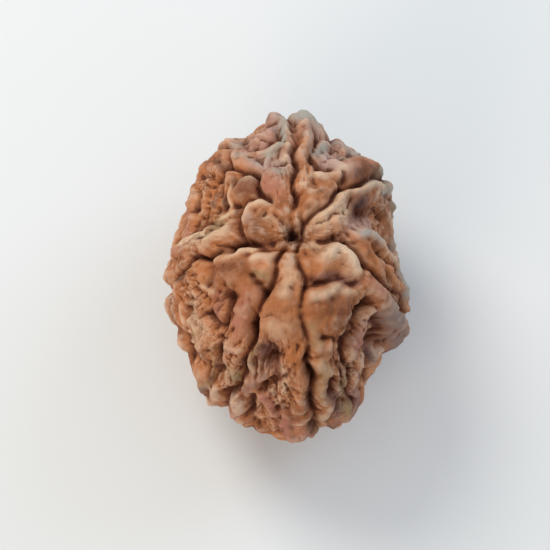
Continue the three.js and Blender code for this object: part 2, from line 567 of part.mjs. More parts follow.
// The stone's closed surface, with its vertices spread evenly over the core.
function stoneGeometry() {
  const routes = lineRoutes();
  const seen = (stroke) => ({ ...stroke, points: withRunOn(stroke.path.map(placeInView)) });
  const bosses = [...BOSSES.map(seen), ...hiddenBosses(routes)].map(withReach);
  const lines = LINES.map(({ faint }, k) => ({ faint, points: routes[k] }));
  const shape = { lines, bosses, hollows: HOLLOWS.map(seen).map(withReach) };
  const ball = new THREE.IcosahedronGeometry(1, SURFACE_DETAIL);
  ball.deleteAttribute("normal");
  ball.deleteAttribute("uv");
  const geometry = mergeVertices(ball, 1e-5);
  const position = geometry.getAttribute("position");
  const stretch = new THREE.Vector3(CORE_PLAN[0], CORE_PLAN[4], CORE_HALF_HEIGHT);
  const places = Array.from({ length: position.count }, (_, k) => corePoint(
    new THREE.Vector3().fromBufferAttribute(position, k).multiply(stretch).normalize(),
  ));
  const heights = eased(Float64Array.from(places, (place) => reliefAt(place, shape)), geometry.index.array);
  places.forEach((place, k) => {
    const top = place.addScaledVector(outward(place), heights[k]);
    position.setXYZ(k, top.x, top.y, top.z);
  });
  geometry.computeBoundingBox();
  return geometry;
}

const wasm = await Module();
wasm.setup();

function solidOf(geometry) {
  return new wasm.Manifold(new wasm.Mesh({
    numProp: 3,
    vertProperties: new Float32Array(geometry.getAttribute("position").array),
    triVerts: new Uint32Array(geometry.index.array),
  }));
}

// The stalk's scar is cut level, as the small flat spot that the stone stands on.
function withFlatSpot(geometry) {
  const { min, max } = geometry.boundingBox;
  const depth = 5;
  const size = max.clone().sub(min).addScalar(depth);
  const block = new THREE.BoxGeometry(size.x, size.y, depth);
  block.translate((min.x + max.x) / 2, (min.y + max.y) / 2, min.z + SCAR_CUT - depth / 2);
  block.deleteAttribute("normal");
  block.deleteAttribute("uv");
  const cut = solidOf(geometry).subtract(solidOf(mergeVertices(block))).getMesh();
  const flatted = new THREE.BufferGeometry();
  flatted.setAttribute("position", new THREE.BufferAttribute(cut.vertProperties, 3));
  flatted.setIndex(new THREE.BufferAttribute(cut.triVerts, 1));
  flatted.computeVertexNormals();
  flatted.computeBoundingBox();
  return flatted;
}

const stone = new THREE.Mesh(
  withFlatSpot(stoneGeometry()),
  new THREE.MeshStandardMaterial({ color: STONE_COLOUR, roughness: 0.7, metalness: 0 }),
);
stone.name = "rudraksha_stone";
const { min, max } = stone.geometry.boundingBox;
stone.position.set(-(min.x + max.x) / 2, -(min.y + max.y) / 2, -min.z);

const rudraksha = new THREE.Group();
rudraksha.add(stone);

export default rudraksha;
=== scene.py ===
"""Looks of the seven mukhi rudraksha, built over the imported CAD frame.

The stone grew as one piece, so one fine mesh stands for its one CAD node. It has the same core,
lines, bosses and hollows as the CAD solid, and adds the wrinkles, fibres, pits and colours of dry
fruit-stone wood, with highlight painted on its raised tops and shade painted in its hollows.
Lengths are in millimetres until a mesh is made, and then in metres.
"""

from __future__ import annotations

import logging
import math
from collections.abc import Callable
from dataclasses import dataclass
from enum import Enum

import bpy
import numpy as np
from mathutils import Matrix, Vector, noise


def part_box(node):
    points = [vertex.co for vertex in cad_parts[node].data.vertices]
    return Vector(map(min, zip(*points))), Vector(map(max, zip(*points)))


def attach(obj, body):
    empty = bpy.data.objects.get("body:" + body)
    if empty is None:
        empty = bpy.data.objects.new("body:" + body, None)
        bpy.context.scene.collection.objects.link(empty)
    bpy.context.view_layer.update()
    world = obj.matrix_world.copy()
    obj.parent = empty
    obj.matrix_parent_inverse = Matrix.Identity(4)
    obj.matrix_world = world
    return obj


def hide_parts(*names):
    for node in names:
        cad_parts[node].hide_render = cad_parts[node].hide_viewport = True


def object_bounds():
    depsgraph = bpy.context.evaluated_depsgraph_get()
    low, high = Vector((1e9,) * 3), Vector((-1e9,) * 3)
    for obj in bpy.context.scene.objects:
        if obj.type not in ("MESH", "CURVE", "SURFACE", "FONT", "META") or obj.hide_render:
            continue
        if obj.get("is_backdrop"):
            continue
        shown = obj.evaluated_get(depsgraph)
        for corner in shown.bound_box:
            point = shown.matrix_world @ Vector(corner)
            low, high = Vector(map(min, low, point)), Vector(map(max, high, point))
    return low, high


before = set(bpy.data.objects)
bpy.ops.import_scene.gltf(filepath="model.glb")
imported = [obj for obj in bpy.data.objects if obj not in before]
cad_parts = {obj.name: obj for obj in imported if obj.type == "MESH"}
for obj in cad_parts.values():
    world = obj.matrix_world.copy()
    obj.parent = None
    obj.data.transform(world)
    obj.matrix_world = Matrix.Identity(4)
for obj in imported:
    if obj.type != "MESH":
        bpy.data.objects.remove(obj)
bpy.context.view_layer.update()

Array = np.ndarray
Path = tuple[tuple[float, float], ...]
Tree = bpy.types.NodeTree
Socket = bpy.types.NodeSocket
MM = 0.001
TINY = 1e-12
BELL_REACH = 3  # half widths past which a bell counts as 0
MIDDLE = 0.5  # the value of a noise or of a lift where it changes nothing
LOG = logging.getLogger("rudraksha")

# Places are millimetres right of the mouth and up from it, as the stone shows itself to the camera.
LINES: tuple[tuple[float, Path], ...] = (
    # North.
    (2.2, ((0, 0.5), (0.1, 1.8), (0.1, 3.2), (0.1, 4.4), (0.2, 5.6), (0.2, 7.0), (0, 8.2), (0, 9.6))),
    # North-east.
    (
        2.6,
        (
            (0.4, 0.5), (1.2, 1.5), (2.2, 2.3), (3.1, 2.9), (3.8, 3.6), (4.3, 4.1), (5.3, 4.5),
            (6.4, 4.9), (7.4, 5.0),
        ),
    ),
    # East.
    (
        5,
        (
            (0.6, 0), (1.8, -0.1), (2.9, -0.4), (4.2, -0.6), (5.0, -1.3), (5.6, -2.1), (6.8, -2.9),
            (7.7, -4.1), (8.4, -5.2), (9.0, -6.2),
        ),
    ),
    # South.
    (
        6.5,
        (
            (0.3, -0.7), (0.7, -2.2), (0.9, -3.8), (0.8, -5.0), (0.8, -6.8), (1.0, -8.2),
            (1.3, -9.6), (1.5, -11.0), (1.7, -12.6), (1.8, -14.2), (1.9, -16.0),
        ),
    ),
    # South-west.
    (
        1.8,
        (
            (-0.4, -0.6), (-1.1, -2.0), (-1.3, -3.0), (-1.7, -4.0), (-2.3, -5.0), (-2.5, -6.0),
            (-2.9, -7.1), (-3.4, -8.3), (-3.8, -9.6), (-4.0, -11.0), (-4.6, -12.2), (-5.3, -13.3),
        ),
    ),
    # West.
    (
        3,
        (
            (-0.6, -0.1), (-1.8, -0.6), (-3.2, -0.8), (-4.4, -0.7), (-5.3, -1.4), (-6.4, -1.6),
            (-7.4, -1.7), (-8.6, -1.9),
        ),
    ),
    # North-west.
    (
        2.4,
        (
            (-0.4, 0.4), (-1.1, 1.5), (-1.9, 2.6), (-2.5, 3.3), (-2.8, 4.2), (-2.9, 5.0),
            (-3.9, 5.3), (-4.9, 5.7), (-5.3, 6.3), (-5.0, 7.4),
        ),
    ),
)

# Each boss or ridge: half its width, its height, and the line that its top follows.
BOSSES: tuple[tuple[float, float, Path], ...] = (
    # Between the north-west and north lines.
    (0.35, 0.2, ((-4.6, 7.9), (-3.6, 8.2), (-2.4, 8.8), (-1.4, 9.4), (-0.5, 9.9))),
    (0.3, 0.45, ((-0.5, 8.8), (-1.1, 8.0), (-2.5, 7.2), (-3.7, 7.0), (-4.7, 7.4))),
    (0.4, 0.8, ((-0.3, 6.6), (-0.3, 8.2), (-0.4, 9.6))),
    (0.6, 0.8, ((-3.5, 5.9), (-4.3, 6.3))),
    (1, 0.9, ((-0.9, 4.8), (-1.7, 4.7))),
    (0.9, 0.55, ((-1.3, 4.0), (-0.8, 2.8), (-0.5, 1.5))),
    # Between the north and north-east lines.
    (1.0, 1.3, ((1.1, 9.6), (1.2, 10.6))),
    (0.7, 0.8, ((1.9, 9.2), (2.2, 9.6))),
    (0.45, 0.95, ((1.2, 3.6), (0.9, 5.0), (0.9, 6.8), (1.0, 8.6))),
    (0.75, 0.9, ((4.0, 7.4), (4.4, 7.9))),
    (0.45, 0.55, ((2.6, 7.8), (3.6, 8.1))),
    (0.45, 0.75, ((1.5, 4.9), (2.7, 5.0), (3.6, 5.4), (3.8, 6.2))),
    (0.9, 0.8, ((1.4, 3.4), (2.5, 3.9), (3.4, 4.4))),
    (0.7, 0.5, ((0.8, 1.7), (1.8, 2.8))),
    (1.15, 1.2, ((4.8, 5.5), (5.7, 5.8), (6.4, 5.9))),
    # Between the north-east and east lines.
    (0.45, 1, ((2.7, 2.0), (3.6, 3.0), (4.5, 3.8), (5.7, 4.1), (6.9, 4.4), (7.7, 4.4))),
    (0.55, 0.9, ((8.1, 4.2), (8.6, 3.4), (8.4, 2.5))),
    (1.1, 0.7, ((3.2, 1.6), (4.4, 2.6))),
    (0.7, 0.6, ((5.6, 3.4), (7.0, 3.4))),
    (0.6, 0.45, ((5.2, 1.2), (6.4, 1.0), (7.0, 1.6))),
    (0.6, 0.65, ((7.6, 2.2), (8.0, 0.6), (8.4, -0.8))),
    (0.6, 0.5, ((1.0, 0.8), (2.4, 1.2))),
    (0.6, 0.5, ((1.8, 0.3), (3.6, 0.6))),
    (0.35, 0.6, ((4.3, 0.7), (4.6, -0.6))),
    (0.5, 1.15, ((5.1, 0.1), (6.0, 0.3), (6.8, -0.3), (7.5, -1.2))),
    (0.95, 1.1, ((5.7, -0.8), (6.5, -1.7), (7.1, -2.5))),
    (0.4, 0.7, ((8.1, -2.9), (8.3, -3.2))),
    (0.65, 1, ((8.8, -1.6), (9.4, -2.8), (9.5, -4.0))),
    (0.5, 0.9, ((9.4, -5.2), (9.4, -6.0))),
    # Between the east and south lines.
    (0.5, 0.5, ((1.2, -0.5), (2.0, -0.9))),
    (0.5, 1.15, ((2.8, -1.2), (3.6, -0.8), (4.3, -1.3), (4.7, -2.0), (5.2, -2.6))),
    (1.1, 1, ((3.1, -2.0), (4.2, -2.6))),
    (0.75, 0.85, ((1.9, -2.2), (2.4, -2.5))),
    (0.4, 0.95, ((1.5, -4.7), (2.2, -4.9), (3.0, -4.4), (3.9, -4.1), (4.7, -4.5))),
    (1.4, 0.95, ((2.5, -6.0), (3.9, -5.6))),
    (0.8, 0.57, ((2.7, -7.4), (3.4, -7.2))),
    (0.5, 0.7, ((5.4, -3.9), (5.5, -5.2))),
    (0.38, 0.7, ((1.3, -4.6), (1.4, -6.4), (1.6, -8.0), (2.0, -9.4))),
    (0.8, 1, ((6.3, -3.5), (7.1, -4.4), (7.6, -5.6))),
    (1, 0.94, ((7.9, -6.2), (8.2, -7.4), (8.2, -8.7))),
    (0.5, 0.82, ((6.3, -6.3), (5.8, -7.6), (5.2, -8.7), (4.8, -9.4))),
    (0.22, 0.33, ((3.0, -8.2), (3.1, -9.2))),
    (0.22, 0.33, ((3.6, -8.2), (3.5, -9.3))),
    (0.55, 0.73, ((2.9, -9.2), (2.6, -10.6), (2.4, -12.2), (2.4, -14.0), (2.5, -16.0))),
    (0.6, 0.43, ((3.9, -10.8), (3.8, -12.8))),
    (0.45, 0.53, ((5.8, -9.9), (5.3, -11.4), (5.0, -13.0))),
    (0.4, 0.4, ((6.8, -9.8), (6.2, -11.2), (5.4, -13.0))),
    (0.45, 0.53, ((5.2, -13.2), (5.1, -13.8))),
    (0.5, 0.59, ((4.6, -14.0), (4.6, -15.0))),
    (0.45, 0.53, ((3.4, -14.4), (3.2, -15.6))),
    # Between the south and south-west lines.
    (0.65, 0.65, ((0.1, -1.0), (0.0, -2.2), (-0.3, -3.4), (-0.6, -4.4))),
    (1.15, 0.95, ((-0.7, -5.4), (-0.9, -6.6), (-1.2, -7.6))),
    (0.4, 0.75, ((0.3, -3.2), (0.4, -5.0), (0.4, -7.0))),
    (0.75, 0.66, ((0.1, -8.7), (0.4, -10.4), (0.8, -12.2), (0.9, -14.0))),
    (0.4, 0.57, ((-2.2, -6.2), (-2.7, -7.6), (-3.2, -9.2), (-3.5, -10.8))),
    (0.3, 0.33, ((-0.5, -10.8), (-0.8, -12.6))),
    (0.5, 0.46, ((-2.2, -10.9), (-3.0, -11.6), (-4.0, -12.4), (-4.6, -13.2))),
    (0.5, 1.4, ((-4.3, -13.4), (-4.6, -14.6))),
    (0.35, 0.4, ((-2.7, -13.2), (-1.9, -14.2), (-1.4, -15.0))),
    (0.35, 0.43, ((-1.7, -12.8), (-0.9, -13.8), (-0.4, -14.8))),
    (0.35, 0.43, ((-0.7, -12.8), (0.1, -13.8), (0.6, -14.8))),
    (0.6, 0.56, ((-0.2, -15.0), (0.0, -16.0))),
    (0.6, 0.59, ((1.0, -15.0), (1.1, -16.1))),
    # Between the south-west and west lines.
    (0.35, 1, ((-3.4, -1.1), (-4.3, -1.3), (-5.2, -1.8), (-6.2, -2.0))),
    (0.35, 0.95, ((-1.5, -2.6), (-2.1, -1.9), (-3.2, -2.1))),
    (1.05, 1.05, ((-2.2, -2.7), (-3.4, -2.6), (-5.1, -2.9))),
    (0.8, 0.7, ((-4.4, -3.8), (-5.4, -3.6))),
    (0.9, 0.95, ((-3.3, -4.9), (-3.7, -6.2), (-4.1, -7.6), (-4.5, -8.8))),
    (0.5, 0.5, ((-6.3, -5.0), (-6.1, -6.2), (-6.0, -7.4))),
    (0.25, 0.5, ((-6.3, -4.2), (-6.9, -4.6), (-7.7, -4.3))),
    (0.25, 0.5, ((-7.5, -5.1), (-7.9, -6.3))),
    (0.25, 0.45, ((-8.0, -5.6), (-8.8, -5.5))),
    (1, 0.55, ((-7.4, -2.8), (-8.4, -3.0))),
    (0.55, 0.75, ((-9.2, -2.3), (-9.3, -2.8))),
    (0.5, 0.75, ((-9.4, -4.4), (-9.5, -4.8))),
    (0.55, 0.7, ((-9.1, -6.2), (-9.0, -6.8))),
    (0.8, 0.6, ((-7.6, -6.4), (-7.0, -7.8), (-6.4, -9.4))),
    (0.5, 0.4, ((-4.5, -9.2), (-4.4, -10.6))),
    (0.4, 0.49, ((-5.5, -8.8), (-5.4, -9.8), (-5.1, -10.8), (-4.9, -11.6))),
    (0.5, 0.4, ((-6.6, -9.4), (-6.3, -11.0))),
    (0.65, 0.46, ((-5.3, -11.9), (-5.5, -12.8))),
    (0.4, 0.46, ((-8.3, -7.2), (-7.6, -9.0), (-7.2, -10.8), (-6.9, -12.4))),
    (0.65, 1.6, ((-6.3, -12.2), (-6.3, -13.4))),
    # Between the west and north-west lines.
    (1, 0.9, ((-3.0, 1.5), (-2.7, 0.6))),
    (0.35, 0.95, ((-0.9, 0.5), (-1.2, 1.5), (-1.8, 2.3), (-2.6, 2.7), (-3.4, 2.3), (-3.7, 1.5))),
    (0.8, 1.05, ((-3.6, 4.3), (-3.8, 3.8))),
    (0.5, 0.8, ((-5.1, 5.1), (-5.3, 4.6))),
    (0.65, 1.05, ((-5.3, 6.8), (-5.6, 7.3))),
    (0.55, 0.9, ((-6.4, 5.6), (-6.8, 6.0))),
    (0.2, 0.5, ((-5.1, 4.2), (-5.2, 2.2))),
    (0.28, 0.55, ((-6.2, 4.6), (-6.4, 2.6))),
    (0.3, 0.6, ((-7.0, 5.0), (-7.3, 3.6), (-7.5, 2.0))),
    (0.35, 0.6, ((-8.0, 3.4), (-8.5, 2.0))),
    (0.3, 0.5, ((-5.8, 1.5), (-4.7, 2.0))),
    (0.55, 0.7, ((-5.1, 0.9), (-5.2, 0.4))),
    (0.7, 0.55, ((-6.4, 1.2), (-6.5, 0.6))),
    (0.25, 0.45, ((-7.2, 1.0), (-7.6, 0.3))),
    (0.5, 0.6, ((-8.4, 1.6), (-8.7, 0.4))),
    (0.55, 1, ((-5.1, 0.0), (-6.2, -0.2), (-7.4, -0.5), (-8.6, -0.4))),
    (0.6, 0.6, ((-6.8, -1.0), (-8.4, -1.2))),
    (0.35, 0.5, ((-1.2, -0.1), (-1.1, -1.2))),
)

# Each hollow: half its width, its depth, and the line of its floor.
HOLLOWS: tuple[tuple[float, float, Path], ...] = (
    (0.3, 0.5, ((-2.9, -7.0), (-3.5, -8.6), (-3.9, -10.0), (-4.1, -11.2))),
    (0.3, 0.6, ((4.1, 6.2), (4.9, 7.1), (5.5, 7.5))),
    (0.35, 0.6, ((2.4, 9.2), (3.0, 8.8))),
    (0.3, 0.5, ((-5.6, -13.0), (-5.4, -13.6))),
    (0.7, 0.3, ((-1.0, 6.0), (-2.4, 6.3))),
    (0.5, 0.3, ((-1.2, 8.7), (-2.6, 7.9), (-3.8, 7.6))),
    (0.3, 0.5, ((-2.9, 5.0), (-3.2, 5.1))),
    (0.35, 0.55, ((1.8, 8.7), (2.8, 8.0))),
    (0.5, 0.55, ((1.8, 6.2), (3.0, 5.8))),
    (0.3, 0.6, ((4.0, 5.4), (4.1, 4.4))),
    (0.35, 0.4, ((6.8, 5.6), (6.7, 5.1))),
    (0.8, 0.45, ((5.2, 2.2), (6.2, 2.3))),
    (0.3, 0.5, ((7.9, 3.4), (7.8, 2.8))),
    (0.4, 0.8, ((6.8, 1.0), (7.3, -0.2), (8.0, -0.8))),
    (0.35, 0.3, ((2.9, -0.2), (3.4, -0.3))),
    (0.35, 0.3, ((1.6, -3.4), (2.6, -3.8), (3.8, -3.4), (4.9, -3.7))),
    (0.4, 0.9, ((5.9, -5.4), (5.5, -6.5), (4.8, -7.4), (4.3, -8.6), (4.3, -10.2))),
    (0.45, 0.9, ((7.2, -6.3), (7.1, -7.8), (6.2, -8.8), (5.4, -9.8))),
    (0.3, 0.7, ((4.8, -10.8), (4.7, -12.6))),
    (0.35, 0.7, ((3.2, -11.8), (3.2, -12.8))),
    (0.5, 0.5, ((1.6, -11.2), (1.8, -13.2), (2.0, -15.6))),
    (0.35, 0.8, ((4.1, -13.4), (3.4, -14.4), (2.9, -15.2))),
    (0.7, 0.45, ((-1.9, -9.1), (-1.5, -10.7))),
    (0.35, 0.6, ((-2.0, -12.0), (-2.6, -12.8))),
    (0.35, 0.6, ((-3.2, -13.2), (-3.6, -13.8))),
    (0.3, 0.7, ((-3.9, -10.6), (-4.0, -11.4))),
    (0.25, 0.7, ((-3.1, -3.4), (-2.8, -4.2), (-2.3, -4.9))),
    (0.35, 0.5, ((-5.3, -5.0), (-5.1, -6.6), (-5.9, -7.3), (-6.8, -6.6))),
    (0.3, 0.6, ((-6.0, -9.3), (-5.9, -10.6))),
    (0.3, 0.7, ((-7.1, -10.6), (-6.8, -11.4), (-6.3, -12.3))),
    (0.4, 0.5, ((-4.7, -0.3), (-4.9, -1.0))),
    (0.3, 0.5, ((-4.2, 1.7), (-4.2, -0.2))),
    (0.3, 0.5, ((-4.7, 2.4), (-5.6, 2.5))),
    (0.3, 0.5, ((-5.4, 6.2), (-6.0, 5.3), (-5.8, 4.6))),
    (0.25, 0.4, ((-7.4, -0.1), (-7.8, -0.1))),
)


class Tone(Enum):
    """The stains that weather and dried pulp leave on the stone's wood, and the tones with which some
    patches paint light and shade.
    """

    PALE = "pale"
    ORANGE = "orange"
    ROSE = "rose"
    BROWN = "brown"
    MAUVE = "mauve"
    PURPLE = "purple"
    GREY = "grey"
    OLIVE = "olive"
    DARK = "dark"


# Where dried pulp clings, or below 0 where hands have rubbed the stone smooth: how much rougher
# each patch is, half its width, and the line that it lies along.
ROUGH_PATCHES: tuple[tuple[float, float, Path], ...] = (
    (0.9, 1.8, ((-6.6, 5.6), (-6.4, 2.2), (-7.0, 0.4))),
    (0.9, 1.6, ((-8.6, -4.2), (-7.2, -6.4), (-7.0, -9.0))),
    (0.9, 1.3, ((-5.6, -5.2), (-5.4, -7.4))),
    (0.9, 1.6, ((-5.8, -9.6), (-5.2, -12.2))),
    (0.9, 1.8, ((-2.2, -9.8), (-1.4, -12.8), (-1.4, -15.0))),
    (0.9, 1.4, ((4.0, -9.0), (4.2, -12.4), (4.0, -14.6))),
    (0.9, 0.8, ((-0.3, 0.2), (0.3, -0.2))),
    (0.7, 0.6, ((0.6, -3.4), (1.0, -4.2))),
    (-0.8, 1.3, ((-0.7, -5.4), (-0.9, -7.4))),
    (-0.8, 1.6, ((2.6, -6.0), (3.8, -6.2))),
    (-0.8, 1.2, ((-4.8, -2.6), (-2.4, -2.4))),
    (-0.8, 1.0, ((-3.6, -5.2), (-4.2, -7.2))),
    (-0.6, 1.2, ((8.0, -6.4), (8.2, -8.6))),
)
